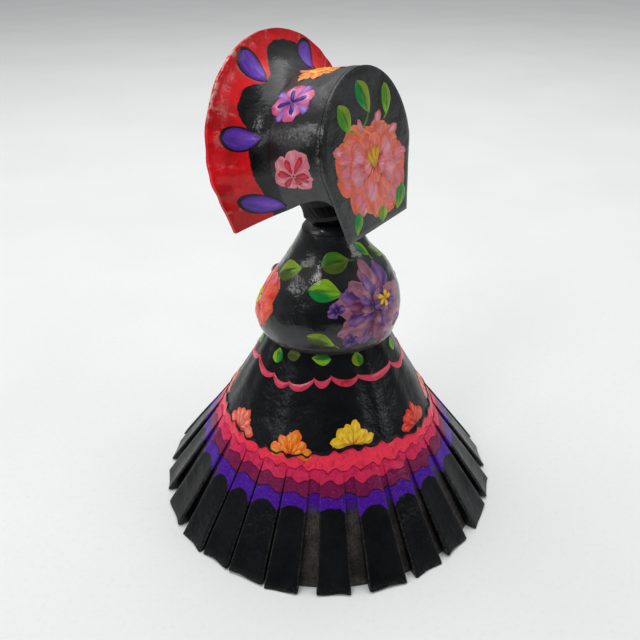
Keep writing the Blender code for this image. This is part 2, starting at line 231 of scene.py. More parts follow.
def skull_local(side_deg, up_deg):
    """The head's shell with eye sockets, nose, mouth, chin and teeth pushed in or out."""
    at, outward = head_shell(side_deg, up_deg)
    side = np.radians(side_deg)
    up = np.radians(up_deg)
    front = np.cos(up) * np.clip(np.cos(side), 0, 1)
    push = 0.0
    for eye in (-1, 1):
        away = np.hypot((side_deg - 24.0 * eye) / 14.5, (up_deg + 2.0) / 11.5)
        push = push - 6.5 * np.exp(-away ** 4) + 1.3 * np.exp(-((away - 1.35) / 0.3) ** 2)
    nose_wide = 6.0 + 3.5 * smooth(-up_deg, 16, 26)
    nose = np.hypot(side_deg / nose_wide, (up_deg + 21.0) / 8.0)
    push = push - 4.0 * np.exp(-nose ** 4)
    push = push + 2.6 * np.exp(-(side_deg / 30.0) ** 2 - ((up_deg + 43.0) / 12.0) ** 2)
    push = push + 1.6 * np.exp(-(side_deg / 20.0) ** 2 - ((up_deg + 64.0) / 7.0) ** 2)
    for number in range(-5, 6):
        tooth = np.exp(-((side_deg - 6.6 * number) / 2.9) ** 4)
        rows = np.exp(-((up_deg + 39.3) / 3.1) ** 4) + np.exp(-((up_deg + 47.3) / 3.1) ** 4)
        push = push + 0.9 * tooth * rows
    at[..., 1] -= push * front
    return at + 0.2 * lumps(at, 12.0, 17)[..., None] * outward


def skull_surface(side_deg, up_deg):
    side_deg, up_deg = np.broadcast_arrays(np.asarray(side_deg, float), np.asarray(up_deg, float))
    return bonnet_to_world(skull_local(side_deg, up_deg))


def raised(surface, step_a, step_b, sign=1.0):
    """The surface with a third coordinate, the height over it."""

    def chart(a, b, lift):
        a, b, lift = np.broadcast_arrays(np.asarray(a, float), np.asarray(b, float), np.asarray(lift, float))
        at = surface(a, b)
        run_a = surface(a + step_a, b) - surface(a - step_a, b)
        run_b = surface(a, b + step_b) - surface(a, b - step_b)
        out = np.cross(run_a, run_b)
        out /= np.linalg.norm(out, axis=-1, keepdims=True) + 1e-12
        return at + sign * lift[..., None] * out

    return chart


on_skirt = raised(skirt_surface, 0.4, 0.6)
on_bodice = raised(bodice_surface, 0.8, 0.8)
on_hat = raised(hat_surface, 0.02, 0.8)
on_panel = raised(panel_surface, 0.8, 0.8, -1.0)
on_skull = raised(skull_surface, 0.6, 0.6)


# ---------------------------------------------------------------- meshes
def grid_faces(rows, columns, wrap, first):
    """Quads of a grid of vertices numbered from first, closed into a tube by wrap."""
    i = np.arange(rows - 1)[:, None]
    j = np.arange(columns if wrap else columns - 1)[None, :]
    a = i * columns + j
    b = i * columns + (j + 1) % columns
    return (np.stack([a, b, b + columns, a + columns], -1) + first).reshape(-1, 4)


def strip_faces(one, other, wrap):
    """Quads between two matching rows of vertex numbers."""
    one_next = np.roll(one, -1)
    other_next = np.roll(other, -1)
    quads = np.stack([one, one_next, other_next, other], -1)
    return quads if wrap else quads[:-1]


def closed_sheet(outer, inner, wrap):
    """(vertices, quads) of a wall between two matching grids."""
    rows, columns = outer.shape[:2]
    count = rows * columns
    number = np.arange(count).reshape(rows, columns)
    faces = [grid_faces(rows, columns, wrap, 0), grid_faces(rows, columns, wrap, count)[:, ::-1]]
    faces.append(strip_faces(number[0] + count, number[0], wrap))
    faces.append(strip_faces(number[-1], number[-1] + count, wrap))
    if not wrap:
        faces.append(strip_faces(number[:, 0], number[:, 0] + count, False))
        faces.append(strip_faces(number[:, -1] + count, number[:, -1], False))
    points = np.concatenate([outer.reshape(-1, 3), inner.reshape(-1, 3)])
    return points, np.concatenate(faces)


def make_object(name, points, faces, mat, attributes=None, node=None, sharp_deg=52.0):
    """A piece from points in millimetres: outward faces, folds over sharp_deg kept crisp."""
    mesh = bpy.data.meshes.new(name)
    faces = faces.tolist() if isinstance(faces, np.ndarray) else faces
    mesh.from_pydata((np.asarray(points) * MM).tolist(), [], faces)
    for key, values in (attributes or {}).items():
        values = np.asarray(values, np.float32)
        if values.ndim == 1:
            mesh.attributes.new(key, "FLOAT", "POINT").data.foreach_set("value", values)
        elif values.shape[1] == 4:
            mesh.attributes.new(key, "FLOAT_COLOR", "POINT").data.foreach_set("color", values.ravel())
        else:
            mesh.attributes.new(key, "FLOAT_VECTOR", "POINT").data.foreach_set("vector", values.ravel())
    shaped = bmesh.new()
    shaped.from_mesh(mesh)
    bmesh.ops.recalc_face_normals(shaped, faces=shaped.faces)
    shaped.to_mesh(mesh)
    shaped.free()
    mesh.shade_smooth()
    mesh.set_sharp_from_angle(angle=math.radians(sharp_deg))
    mesh.materials.append(mat)
    obj = bpy.data.objects.new(name, mesh)
    bpy.context.scene.collection.objects.link(obj)
    if node:
        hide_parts(node)
    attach(obj, "root")
    return obj


def make_shell(name, outer, inner, wrap, mat, attributes=None, node=None):
    """A piece made of the wall between two matching grids."""
    points, faces = closed_sheet(outer, inner, wrap)
    return make_object(name, points, faces, mat, attributes, node)


def both(values):
    """An attribute of a closed sheet: the inner grid takes the outer grid's values."""
    flat = np.asarray(values, float).reshape(-1)
    return np.concatenate([flat, flat])


class Relief:
    """Raised strokes of paint gathered into one mesh, each a thin closed pad with its own colours."""

    def __init__(self):
        self.points = []
        self.faces = []
        self.paint = []
        self.flow = []
        self.count = 0

    def add(self, top, under, paint, flow):
        points, faces = closed_sheet(top, under, False)
        self.points.append(points)
        self.faces.append(faces + self.count)
        colour = np.concatenate([paint, np.ones(paint.shape[:-1] + (1,))], -1).reshape(-1, 4)
        self.paint.append(np.concatenate([colour, colour]))
        self.flow.append(np.concatenate([flow.reshape(-1, 3)] * 2))
        self.count += len(points)

    def build(self, name, mat):
        attributes = {"paint": np.concatenate(self.paint), "flow": np.concatenate(self.flow)}
        points = np.concatenate(self.points)
        return make_object(name, points, np.concatenate(self.faces), mat, attributes)


# ---------------------------------------------------------------- brush strokes
def spot(chart, a, b, unit_a, unit_b, turn_deg=0.0):
    """A flat sheet of millimetres (x right, y up, seen from outside) laid on a chart round one point."""
    c = math.cos(math.radians(turn_deg))
    s = math.sin(math.radians(turn_deg))

    def lay(x, y, lift):
        return chart(a + (c * x - s * y) / unit_a, b + (s * x + c * y) / unit_b, lift)

    return lay


def skirt_spot(deg, z, turn_deg=0.0):
    return spot(on_skirt, deg, z, skirt_radius(z) * math.pi / 180, 1.178, turn_deg)


def bodice_spot(deg, z, turn_deg=0.0):
    radius = float(curve_through(np.array(z), BODICE_Z, BODICE_R))
    slope = (float(curve_through(np.array(z + 2.0), BODICE_Z, BODICE_R)) - radius) / 2.0
    return spot(on_bodice, deg, z, radius * 0.95 * math.pi / 180, math.hypot(1.0, slope), turn_deg)


CROWN_ARCH_R = 49.0
BRIM_ARCH_R = 62.0


def hat_spot(theta, run, turn_deg=0.0, arch_radius=CROWN_ARCH_R):
    return spot(lambda a, b, lift: on_hat(b, -a, lift), -run, theta, 1.0, arch_radius, turn_deg)


def panel_spot(x, z):
    return spot(lambda a, b, lift: on_panel(-a, b, lift), -x, z, 1.0, 1.0)


def skull_spot(side, up, turn_deg=0.0):
    return spot(on_skull, side, up, 0.5 * math.cos(math.radians(up)), 0.66, turn_deg)


def rounded_end(t, begin):
    """1 up to begin, then a quarter circle down to 0 at the tip."""
    return np.sqrt(np.clip(1 - (np.clip(t - begin, 0, 1) / (1 - begin)) ** 2, 0, 1))


# Half-width of a stroke along its length, from 0 at its foot to 1 at its tip.
SHAPES = {
    "leaf": lambda t: np.sin(math.pi * np.clip(t, 0, 1) ** 0.85) ** 0.8,
    "fan": lambda t: (0.22 + 0.78 * smooth(t, 0, 0.62)) * rounded_end(t, 0.7),
    "drop": lambda t: np.clip(t, 0, 1) ** 0.6 * rounded_end(t, 0.55),
    "round": lambda t: np.sqrt(np.clip(1 - (2 * t - 1) ** 2, 0, 1)),
    "oval": lambda t: np.sin(math.pi * np.clip(t, 0, 1) ** 0.8) ** 0.62,
}


# How high a stroke's middle stands, how deep its pad reaches, and how high its rim lies, in millimetres.
Layer = namedtuple("Layer", "height sink base")


def toward(turn_deg, far_x, far_y):
    """The point of an ellipse round a spot's middle, in this direction."""
    turn = math.radians(turn_deg)
    return far_x * math.cos(turn), far_y * math.sin(turn)


def stroke(relief, lay, start, end, half, shape, colours, layer, seed, bend=0.0, ruffle=0.0,
           detail=(18, 9), two_tone=False):
    """One petal from start to end, in colours of (foot, body, edge, light).

    A two-tone leaf takes (one half, other half, rib, tip). detail is the mesh's rows and columns.
    """
    rows, columns = detail
    height, sink, base = layer
    t = np.linspace(0, 1, rows)[:, None]
    w = np.linspace(-1, 1, columns)[None, :]
    start = np.array(start, float)
    end = np.array(end, float)
    run = end - start
    length = np.hypot(*run)
    along = run / length
    side = np.array([-along[1], along[0]])
    wide = half * np.maximum(SHAPES[shape](t), 0.05)
    reach = t * (1 + ruffle * t * np.sin(5.0 * w + seed * 3.1) + 0.4 * ruffle * t * np.sin(11.0 * w + seed))
    edge_wave = 1 + 1.2 * ruffle * np.sin(9.0 * t + seed * 2.3) * np.abs(w)
    off = w * wide * edge_wave + bend * length * np.sin(math.pi * t)
    x = start[0] + along[0] * length * reach + side[0] * off
    y = start[1] + along[1] * length * reach + side[1] * off
    dome = np.clip(1 - w * w, 0, 1) ** 0.5 * np.clip(np.sin(math.pi * t), 0, 1) ** 0.35
    furrow = 0.12 * height * np.sin(9 * w + 4 * seed + 1.5 * np.sin(3 * t))
    top = lay(x, y, base + (height - base) * dome + furrow * dome)
    under = lay(x, y, -sink + 0 * dome)
    where = np.stack([w * 3.1 + 0 * t + seed * 7.7, t * 2.2 + 0 * w, 0 * (t + w) + seed * 3.3], -1)
    grain = noise(where, 0.55, 3)[..., None]
    w3 = (w + 0 * t)[..., None]
    t3 = (t + 0 * w)[..., None]
    first, second, third, fourth = [np.asarray(colour, float) for colour in colours]
    if two_tone:
        mixed = first + (second - first) * smooth(w3 + 0.25 * grain, -0.25, 0.25)
        mixed = mixed + (third - mixed) * 0.7 * np.exp(-(w3 / 0.09) ** 2) * smooth(t3, 0.02, 0.3)
        mixed = mixed + (fourth - mixed) * smooth(t3 + 0.2 * grain, 0.55, 1.05)
    else:
        rim = np.maximum(np.abs(w3), smooth(t3, 0.55, 1.0) * 0.98)
        mixed = second + (fourth - second) * np.exp(-((w3 - 0.15) / 0.35) ** 2) * smooth(t3, 0.25, 0.7)
        mixed = mixed + (first - mixed) * (1 - smooth(t3 + 0.15 * grain, 0.1, 0.5))
        mixed = mixed + (third - mixed) * smooth(rim + 0.14 * grain, 0.6, 0.92)
    mixed = np.clip(mixed * (1 + 0.22 * grain), 0, 1)
    flow = np.stack([w * half + 0 * t, t * length + 0 * w, seed + 0 * (t + w)], -1)
    relief.add(top, under, mixed, flow)


def ribbon(relief, chart, a, b, half, colours, height=0.35, seed=0.0, sink=0.25):
    """A painted line along b(a), half wide each way in b, from edge colour to middle colour."""
    across = np.linspace(-1, 1, 5)[None, :]
    a = np.asarray(a, float)[:, None]
    line = np.asarray(b, float)[:, None]
    wide = np.asarray(half, float)
    wide = (wide if wide.ndim else np.full(len(a), float(wide)))[:, None]
    level = line + wide * across
    dome = 0.04 + (height - 0.04) * (1 - across ** 4) + 0 * a
    top = chart(a, level, dome)
    under = chart(a, level, -sink + 0 * dome)
    where = np.stack([a * 0.21 + 0 * across, across * 0.8 + 0 * a, seed + 0 * (a + across)], -1)
    grain = noise(where, 0.8, 21)[..., None]
    edge, middle, dark = [np.asarray(colour, float) for colour in colours]
    mixed = edge + (middle - edge) * (1 - (across ** 2)[..., None]) + 0 * grain
    mixed = mixed + (dark - mixed) * smooth(grain, 0.15, 0.9)
    flow = np.stack([level - line, a * 1.0 + 0 * across, seed + 0 * (a + across)], -1)
    relief.add(top, under, mixed, flow)


def leaf(relief, lay, start, end, half, tones, seed, bend, height=0.35):
    layer = Layer(height, 0.25, 0.05)
    stroke(relief, lay, start, end, half, "leaf", tones, layer, seed, bend, 0.03, (18, 11), True)


EMERALD = rgb(0.02, 0.55, 0.22)
GREEN = rgb(0.3, 0.6, 0.08)
LIME = rgb(0.55, 0.75, 0.1)
OLIVE = rgb(0.52, 0.62, 0.12)
DULL_OLIVE = rgb(0.28, 0.36, 0.1)
DARK_LEAF = rgb(0.1, 0.25, 0.05)
YELLOW = rgb(0.98, 0.8, 0.1)
OCHRE = rgb(0.86, 0.62, 0.12)
CORAL = rgb(0.93, 0.38, 0.27)
SALMON = rgb(0.96, 0.62, 0.55)
PINK = rgb(0.9, 0.5, 0.55)
ROSE = rgb(0.85, 0.24, 0.36)
RED = rgb(0.9, 0.16, 0.12)
CRIMSON = rgb(0.7, 0.07, 0.16)
DEEP_RED = rgb(0.42, 0.03, 0.08)
ORANGE = rgb(0.98, 0.45, 0.06)
VIOLET = rgb(0.32, 0.14, 0.6)
DEEP_VIOLET = rgb(0.2, 0.06, 0.48)
LILAC = rgb(0.6, 0.42, 0.8)
MAUVE = rgb(0.62, 0.35, 0.48)
DUSK_PINK = rgb(0.72, 0.48, 0.56)
PLUM = rgb(0.4, 0.1, 0.3)
BLACK = rgb(0.07, 0.075, 0.085)


# ---------------------------------------------------------------- materials
def new_material(name):
    mat = bpy.data.materials.new(name)
    mat.use_nodes = True
    tree = mat.node_tree
    tree.nodes.clear()
    out = tree.nodes.new("ShaderNodeOutputMaterial")
    shader = tree.nodes.new("ShaderNodeBsdfPrincipled")
    tree.links.new(shader.outputs[0], out.inputs["Surface"])
    return mat, tree, shader


def socket(tree, target, value):
    """Feed an input from another node's output, or set it to a colour or a number."""
    if isinstance(value, bpy.types.NodeSocket):
        tree.links.new(value, target)
    elif isinstance(value, (tuple, list, np.ndarray)) and len(value) == 3 and target.type == "RGBA":
        target.default_value = (*[float(v) for v in value], 1.0)
    else:
        target.default_value = value


def object_coords(tree, scale=(1.0, 1.0, 1.0)):
    coords = tree.nodes.new("ShaderNodeTexCoord")
    mapping = tree.nodes.new("ShaderNodeMapping")
    mapping.inputs["Scale"].default_value = scale
    tree.links.new(coords.outputs["Object"], mapping.inputs["Vector"])
    return mapping.outputs[0]


def attribute(tree, name, what="Fac"):
    node = tree.nodes.new("ShaderNodeAttribute")
    node.attribute_name = name
    return node.outputs[what]


def speckle(tree, vector, scale, detail=4.0, rough=0.6, distortion=0.0):
    node = tree.nodes.new("ShaderNodeTexNoise")
    node.inputs["Scale"].default_value = scale
    node.inputs["Detail"].default_value = detail
    node.inputs["Roughness"].default_value = rough
    node.inputs["Distortion"].default_value = distortion
    tree.links.new(vector, node.inputs["Vector"])
    return node.outputs["Fac"]


def remap(tree, value, low, high, to_low=0.0, to_high=1.0):
    """An eased step from to_low at low to to_high at high."""
    node = tree.nodes.new("ShaderNodeMapRange")
    node.interpolation_type = "SMOOTHSTEP"
    for key, number in (("From Min", low), ("From Max", high), ("To Min", to_low), ("To Max", to_high)):
        node.inputs[key].default_value = number
    tree.links.new(value, node.inputs["Value"])
    return node.outputs[0]


def maths(tree, operation, one, other=0.0):
    node = tree.nodes.new("ShaderNodeMath")
    node.operation = operation
    socket(tree, node.inputs[0], one)
    socket(tree, node.inputs[1], other)
    return node.outputs[0]


def mix(tree, share, one, other):
    node = tree.nodes.new("ShaderNodeMix")
    node.data_type = "RGBA"
    socket(tree, node.inputs["Factor"], share)
    socket(tree, node.inputs[6], one)
    socket(tree, node.inputs[7], other)
    return node.outputs[2]


def ramp(tree, value, stops):
    node = tree.nodes.new("ShaderNodeValToRGB")
    marks = node.color_ramp.elements
    while len(marks) < len(stops):
        marks.new(0.5)
    for mark, (position, colour) in zip(marks, stops):
        mark.position = position
        mark.color = (*[float(v) for v in colour], 1.0)
    tree.links.new(value, node.inputs["Fac"])
    return node.outputs["Color"]


def bump(tree, shader, layers):
    """Stacked bumps from (height, strength, distance in mm)."""
    normal = None
    for height, strength, distance in layers:
        node = tree.nodes.new("ShaderNodeBump")
        node.inputs["Strength"].default_value = strength
        node.inputs["Distance"].default_value = distance * MM
        tree.links.new(height, node.inputs["Height"])
        if normal is not None:
            tree.links.new(normal, node.inputs["Normal"])
        normal = node.outputs["Normal"]
    tree.links.new(normal, shader.inputs["Normal"])
    if shader.inputs["Coat Weight"].default_value:
        tree.links.new(normal, shader.inputs["Coat Normal"])


def varnish_coat(shader, weight, rough, under=0.2):
    """A clear coat over paint whose own shine is under."""
    shader.inputs["Specular IOR Level"].default_value = under
    shader.inputs["Coat Weight"].default_value = weight
    shader.inputs["Coat Roughness"].default_value = rough
    shader.inputs["Coat IOR"].default_value = 1.5


def black_varnish(name, scale=(1.0, 1.0, 1.0), wear_and_sheen=0.0, coat=0.6, coat_rough=0.14, dust=0.3):
    """Black paint under brushed varnish: long strokes, drips, dull patches, and pale specks that are rubbed
    paint at edges and, on the bonnet's shoulders, a painted glare.
    """
    mat, tree, shader = new_material(name)
    at = object_coords(tree)
    brushed = object_coords(tree, scale)
    strokes = speckle(tree, brushed, 420.0, 5.0, 0.65, 0.4)
    cloud = speckle(tree, at, 38.0, 4.0, 0.6)
    fine = speckle(tree, at, 900.0, 3.0, 0.7)
    colour = mix(tree, remap(tree, cloud, 0.35, 0.7), rgb(0.035, 0.042, 0.055), rgb(0.075, 0.082, 0.095))
    colour = mix(tree, remap(tree, strokes, 0.55, 0.8, 0.0, 0.35), colour, rgb(0.16, 0.165, 0.175))
    dusty = maths(tree, "MULTIPLY", remap(tree, cloud, 0.5, 0.75), remap(tree, fine, 0.5, 0.75, 0.0, dust))
    colour = mix(tree, dusty, colour, rgb(0.45, 0.46, 0.45))
    # Pale specks where the attribute asks: scuffed paint at the bonnet's rear edge, and a painted glare on
    # its shoulders.
    if wear_and_sheen:
        pale_mottle = remap(tree, speckle(tree, at, 640.0, 8.0, 0.85), 0.5, 0.64, 0.0, wear_and_sheen)
        specks = maths(tree, "MULTIPLY", attribute(tree, "wear_and_sheen"), pale_mottle)
        colour = mix(tree, specks, colour, rgb(0.74, 0.73, 0.7))
    socket(tree, shader.inputs["Base Color"], colour)
    uneven = maths(tree, "ADD", cloud, maths(tree, "MULTIPLY", strokes, 0.5))
    socket(tree, shader.inputs["Roughness"], remap(tree, uneven, 0.5, 1.1, 0.28, 0.6))
    varnish_coat(shader, coat, coat_rough)
    dull = remap(tree, cloud, 0.38, 0.62, 0.6 * coat_rough, 2.2 * coat_rough)
    socket(tree, shader.inputs["Coat Roughness"], dull)
    paste = speckle(tree, at, 120.0, 3.0, 0.6)
    bump(tree, shader, ((cloud, 0.45, 1.8), (paste, 0.5, 0.7), (strokes, 0.35, 0.25), (fine, 0.25, 0.1)))
    return mat


def painted_relief(name, coat=0.45, rough=0.36):
    """Brush paint carrying its colour in each stroke, streaked along the stroke."""
    mat, tree, shader = new_material(name)
    at = object_coords(tree)
    flow = attribute(tree, "flow", "Vector")
    stretch = tree.nodes.new("ShaderNodeMapping")
    stretch.inputs["Scale"].default_value = (1.0, 0.12, 1.0)
    tree.links.new(flow, stretch.inputs["Vector"])
    streaks = speckle(tree, stretch.outputs[0], 1.6, 5.0, 0.65, 0.5)
    fine = speckle(tree, at, 700.0, 3.0, 0.65)
    colour = attribute(tree, "paint", "Color")
    darker = tree.nodes.new("ShaderNodeHueSaturation")
    darker.inputs["Value"].default_value = 0.55
    tree.links.new(colour, darker.inputs["Color"])
    lighter = tree.nodes.new("ShaderNodeHueSaturation")
    lighter.inputs["Value"].default_value = 1.25
    lighter.inputs["Saturation"].default_value = 0.82
    tree.links.new(colour, lighter.inputs["Color"])
    mixed = mix(tree, remap(tree, streaks, 0.3, 0.55, 0.7, 0.0), colour, darker.outputs[0])
    mixed = mix(tree, remap(tree, streaks, 0.55, 0.78, 0.0, 0.6), mixed, lighter.outputs[0])
    mixed = mix(tree, remap(tree, fine, 0.6, 0.8, 0.0, 0.25), mixed, rgb(0.1, 0.08, 0.08))
    socket(tree, shader.inputs["Base Color"], mixed)
    socket(tree, shader.inputs["Roughness"], remap(tree, fine, 0.3, 0.7, rough - 0.08, rough + 0.2))
    varnish_coat(shader, coat, 0.15, 0.15)
    bump(tree, shader, ((streaks, 0.35, 0.2), (fine, 0.2, 0.08)))
    return mat


BAND_SPAN = 6.0


def banded_paint(name, pleat):
    """Black board with the painted border: violet, plum, crimson and red, counted by the band attribute."""
    mat, tree, shader = new_material(name)
    at = object_coords(tree)
    wavy = speckle(tree, at, 150.0, 2.0, 0.5)
    cloud = speckle(tree, at, 42.0, 4.0, 0.6)
    strokes = speckle(tree, object_coords(tree, (1.0, 1.0, 0.16)), 520.0, 5.0, 0.65, 0.4)
    fine = speckle(tree, at, 950.0, 3.0, 0.7)
    band = maths(tree, "ADD", attribute(tree, "band"), remap(tree, wavy, 0.3, 0.7, -0.06, 0.06))
    share = maths(tree, "DIVIDE", maths(tree, "ADD", band, 0.5), BAND_SPAN)
    black = rgb(0.075, 0.08, 0.09)
    violet = rgb(0.29, 0.07, 0.6)
    plum = rgb(0.48, 0.08, 0.29)
    crimson = rgb(0.86, 0.16, 0.35)
    red = rgb(0.99, 0.22, 0.34)
    colours = (black, violet, plum, crimson, red, black)
    edges = [(number + 0.5, below, above) for number, (below, above) in enumerate(zip(colours, colours[1:]))]
    stops = []
    for middle, below, above in edges:
        line = 0.3 * np.minimum(below, above)
        stops.append(((middle - 0.07) / BAND_SPAN, below))
        stops.append(((middle - 0.02) / BAND_SPAN, line))
        stops.append(((middle + 0.02) / BAND_SPAN, line))
        stops.append(((middle + 0.07) / BAND_SPAN, above))
    colour = ramp(tree, share, stops)
    dark_stops = []
    for middle, below, above in edges:
        dark_stops.append(((middle - 0.035) / BAND_SPAN, 0.45 * below))
        dark_stops.append(((middle + 0.035) / BAND_SPAN, 0.4 * above))
    dark = ramp(tree, share, dark_stops)
    mottled = speckle(tree, object_coords(tree, (1.0, 1.0, 0.45)), 300.0, 5.0, 0.7, 0.6)
    colour = mix(tree, remap(tree, mottled, 0.46, 0.72, 0.0, 0.75), colour, dark)
    glint = maths(tree, "MULTIPLY", remap(tree, fine, 0.55, 0.8, 0.0, 0.35), remap(tree, share, 0.07, 0.1))
    colour = mix(tree, glint, colour, rgb(0.85, 0.55, 0.62))
    over = remap(tree, share, 0.755, 0.775)
    under = remap(tree, share, 0.075, 0.095, 1.0, 0.0)
    plain = maths(tree, "MAXIMUM", over, under)
    base = mix(tree, remap(tree, cloud, 0.35, 0.7), rgb(0.035, 0.04, 0.052), rgb(0.07, 0.077, 0.09))
    base = mix(tree, remap(tree, strokes, 0.55, 0.8, 0.0, 0.4), base, rgb(0.16, 0.165, 0.175))
    colour = mix(tree, plain, colour, base)
    pale_mottle = remap(tree, speckle(tree, at, 600.0, 4.0, 0.7), 0.4, 0.62)
    wear_and_sheen_marks = maths(tree, "MULTIPLY", attribute(tree, "wear_and_sheen"), pale_mottle)
    # On the pleats the pale grey along folds and hem is partly rubbed paint, partly painted highlight.
    if pleat:
        colour = mix(tree, maths(tree, "MULTIPLY", wear_and_sheen_marks, 0.5), colour, rgb(0.36, 0.35, 0.33))
    else:
        bare = mix(tree, remap(tree, cloud, 0.35, 0.7), rgb(0.2, 0.19, 0.18), rgb(0.36, 0.34, 0.32))
        bare = mix(tree, remap(tree, fine, 0.42, 0.6, 0.0, 0.6), bare, rgb(0.09, 0.085, 0.08))
        streaky = remap(tree, strokes, 0.2, 0.55, 0.7, 1.0)
        open_gap = maths(tree, "MULTIPLY", attribute(tree, "valley"), streaky)
        colour = mix(tree, open_gap, colour, bare)
        colour = mix(tree, maths(tree, "MULTIPLY", wear_and_sheen_marks, 0.4), colour, rgb(0.4, 0.4, 0.38))
    socket(tree, shader.inputs["Base Color"], colour)
    uneven = maths(tree, "ADD", cloud, maths(tree, "MULTIPLY", strokes, 0.6))
    rough = remap(tree, uneven, 0.5, 1.15, 0.3, 0.62)
    if not pleat:
        rough = maths(tree, "MAXIMUM", rough, maths(tree, "MULTIPLY", attribute(tree, "valley"), 0.85))
    socket(tree, shader.inputs["Roughness"], rough)
    varnish_coat(shader, 0.34 if pleat else 0.4, 0.14 if pleat else 0.12, 0.06)
    bump(tree, shader, ((cloud, 0.55, 2.0), (strokes, 0.5, 0.3), (mottled, 0.35, 0.35), (fine, 0.25, 0.08)))
    return mat


def brim_paint():
    """Blotched red varnish, running out where the crown's black laps over it."""
    mat, tree, shader = new_material("brim_red_varnish")
    at = object_coords(tree)
    cloud = speckle(tree, at, 70.0, 5.0, 0.65, 0.3)
    patch = speckle(tree, at, 190.0, 4.0, 0.6)
    fine = speckle(tree, at, 800.0, 3.0, 0.7)
    colour = mix(tree, remap(tree, cloud, 0.32, 0.62), rgb(0.99, 0.1, 0.15), rgb(0.8, 0.06, 0.1))
    colour = mix(tree, remap(tree, patch, 0.5, 0.72, 0.0, 0.6), colour, rgb(0.86, 0.2, 0.1))
    stained = remap(tree, maths(tree, "ADD", cloud, patch), 1.18, 1.35, 0.0, 0.5)
    colour = mix(tree, stained, colour, rgb(0.27, 0.05, 0.07))
    edge = maths(tree, "ADD", attribute(tree, "black"), remap(tree, patch, 0.3, 0.7, -0.12, 0.12))
    night = mix(tree, remap(tree, cloud, 0.35, 0.7), rgb(0.04, 0.045, 0.055), rgb(0.12, 0.125, 0.13))
    colour = mix(tree, remap(tree, edge, -0.1, 0.1), colour, night)
    faded = maths(tree, "MULTIPLY", attribute(tree, "crease"), remap(tree, patch, 0.4, 0.6))
    colour = mix(tree, faded, colour, rgb(0.9, 0.62, 0.6))
    wear_and_sheen_marks = maths(tree, "MULTIPLY", attribute(tree, "wear_and_sheen"), remap(tree, patch, 0.46, 0.6))
    colour = mix(tree, wear_and_sheen_marks, colour, rgb(0.85, 0.72, 0.7))
    socket(tree, shader.inputs["Base Color"], colour)
    socket(tree, shader.inputs["Roughness"], remap(tree, cloud, 0.3, 0.7, 0.26, 0.5))
    varnish_coat(shader, 0.45, 0.13, 0.1)
    bump(tree, shader, ((cloud, 0.5, 1.6), (patch, 0.4, 0.6), (fine, 0.25, 0.1)))
    return mat


def plain_paint(name, light, dark, scale, rough, coat, lump=0.4):
    """Cloudy paint between two colours, with fine dark specks."""
    mat, tree, shader = new_material(name)
    at = object_coords(tree)
    cloud = speckle(tree, at, scale, 5.0, 0.65, 0.3)
    fine = speckle(tree, at, scale * 8, 4.0, 0.7)
    colour = mix(tree, remap(tree, cloud, 0.35, 0.7), light, dark)
    colour = mix(tree, remap(tree, fine, 0.55, 0.8, 0.0, 0.5), colour, 0.6 * np.asarray(dark))
    socket(tree, shader.inputs["Base Color"], colour)
    socket(tree, shader.inputs["Roughness"], remap(tree, fine, 0.3, 0.7, rough - 0.1, rough + 0.15))
    if coat:
        varnish_coat(shader, coat, 0.2)
    bump(tree, shader, ((cloud, lump, 0.8), (fine, 0.3, 0.15)))
    return mat


def wood_stain():
    """Pale wood with its grain running up the post."""
    mat, tree, shader = new_material("post_softwood")
    grain = speckle(tree, object_coords(tree, (1.0, 1.0, 0.06)), 700.0, 5.0, 0.6, 1.2)
    fine = speckle(tree, object_coords(tree), 1500.0, 3.0, 0.6)
    colour = mix(tree, remap(tree, grain, 0.35, 0.65), rgb(0.72, 0.56, 0.38), rgb(0.45, 0.31, 0.19))
    socket(tree, shader.inputs["Base Color"], colour)
    socket(tree, shader.inputs["Roughness"], remap(tree, fine, 0.3, 0.7, 0.6, 0.85))
    bump(tree, shader, ((grain, 0.5, 0.2), (fine, 0.2, 0.05)))
    return mat


VARNISH = black_varnish("black_varnish_bodice", (1.0, 1.0, 0.35), 0.0, 0.85, 0.09, 0.25)
HAT_VARNISH = black_varnish("black_varnish_bonnet", (0.5, 0.5, 0.5), 0.9, 0.75, 0.16, 0.75)
SKIRT_PAINT = banded_paint("skirt_paint", False)
PLEAT_PAINT = banded_paint("pleat_paint", True)
FLOWER_PAINT = painted_relief("flower_paint")
BRIM_PAINT = brim_paint()
BONE = plain_paint("bone_white_paint", rgb(0.92, 0.88, 0.78), rgb(0.82, 0.76, 0.63), 90.0, 0.42, 0.4)
HAIR = plain_paint("hair_matt_black", rgb(0.06, 0.05, 0.05), rgb(0.02, 0.02, 0.02), 160.0, 0.72, 0.0)
BOARD = plain_paint("bare_grey_board", rgb(0.55, 0.47, 0.37), rgb(0.4, 0.33, 0.25), 120.0, 0.85, 0.0)
WOOD = wood_stain()


# ---------------------------------------------------------------- skirt and pleats
FIRST_PLEAT = 86.2
PLEATS = 24
PLEAT_LIFT = 6.6
PLEAT_TOP_LIFT = 0.55
SHUT_GAPS = (20, 21, 22)
SKIRT_WALL = 3.0


def pleat_spans():
    """(start, width, gap) of each pleat, in degrees round the hem."""
    spans = []
    start = FIRST_PLEAT
    gaps = (5.2, 3.1, 3.1, 5.2, 3.1, 5.2)
    widths = (10.4, 12.0, 10.4)
    for i in range(PLEATS):
        gap = 0.75 if i in SHUT_GAPS else gaps[i % len(gaps)]
        width = widths[i % len(widths)]
        spans.append((start, width, gap))
        start += width + gap
    stretch = 360.0 / (start - FIRST_PLEAT)
    starts = [FIRST_PLEAT + (begin - FIRST_PLEAT) * stretch for begin, _, _ in spans]
    return [(begin, width * stretch, gap * stretch) for begin, (_, width, gap) in zip(starts, spans)]


SPANS = pleat_spans()


def off_centre(deg, begin, width):
    """Degrees from the middle of a pleat, from -180 to 180."""
    return (deg - begin - width / 2 + 180.0) % 360.0 - 180.0


def painted_edge(turn, level, deep, beats, shift, fine_deep, fine_beats):
    """Height of an edge of paint that waves and ripples round the skirt."""
    return level + deep * np.sin(beats * turn + shift) + fine_deep * np.sin(fine_beats * turn)


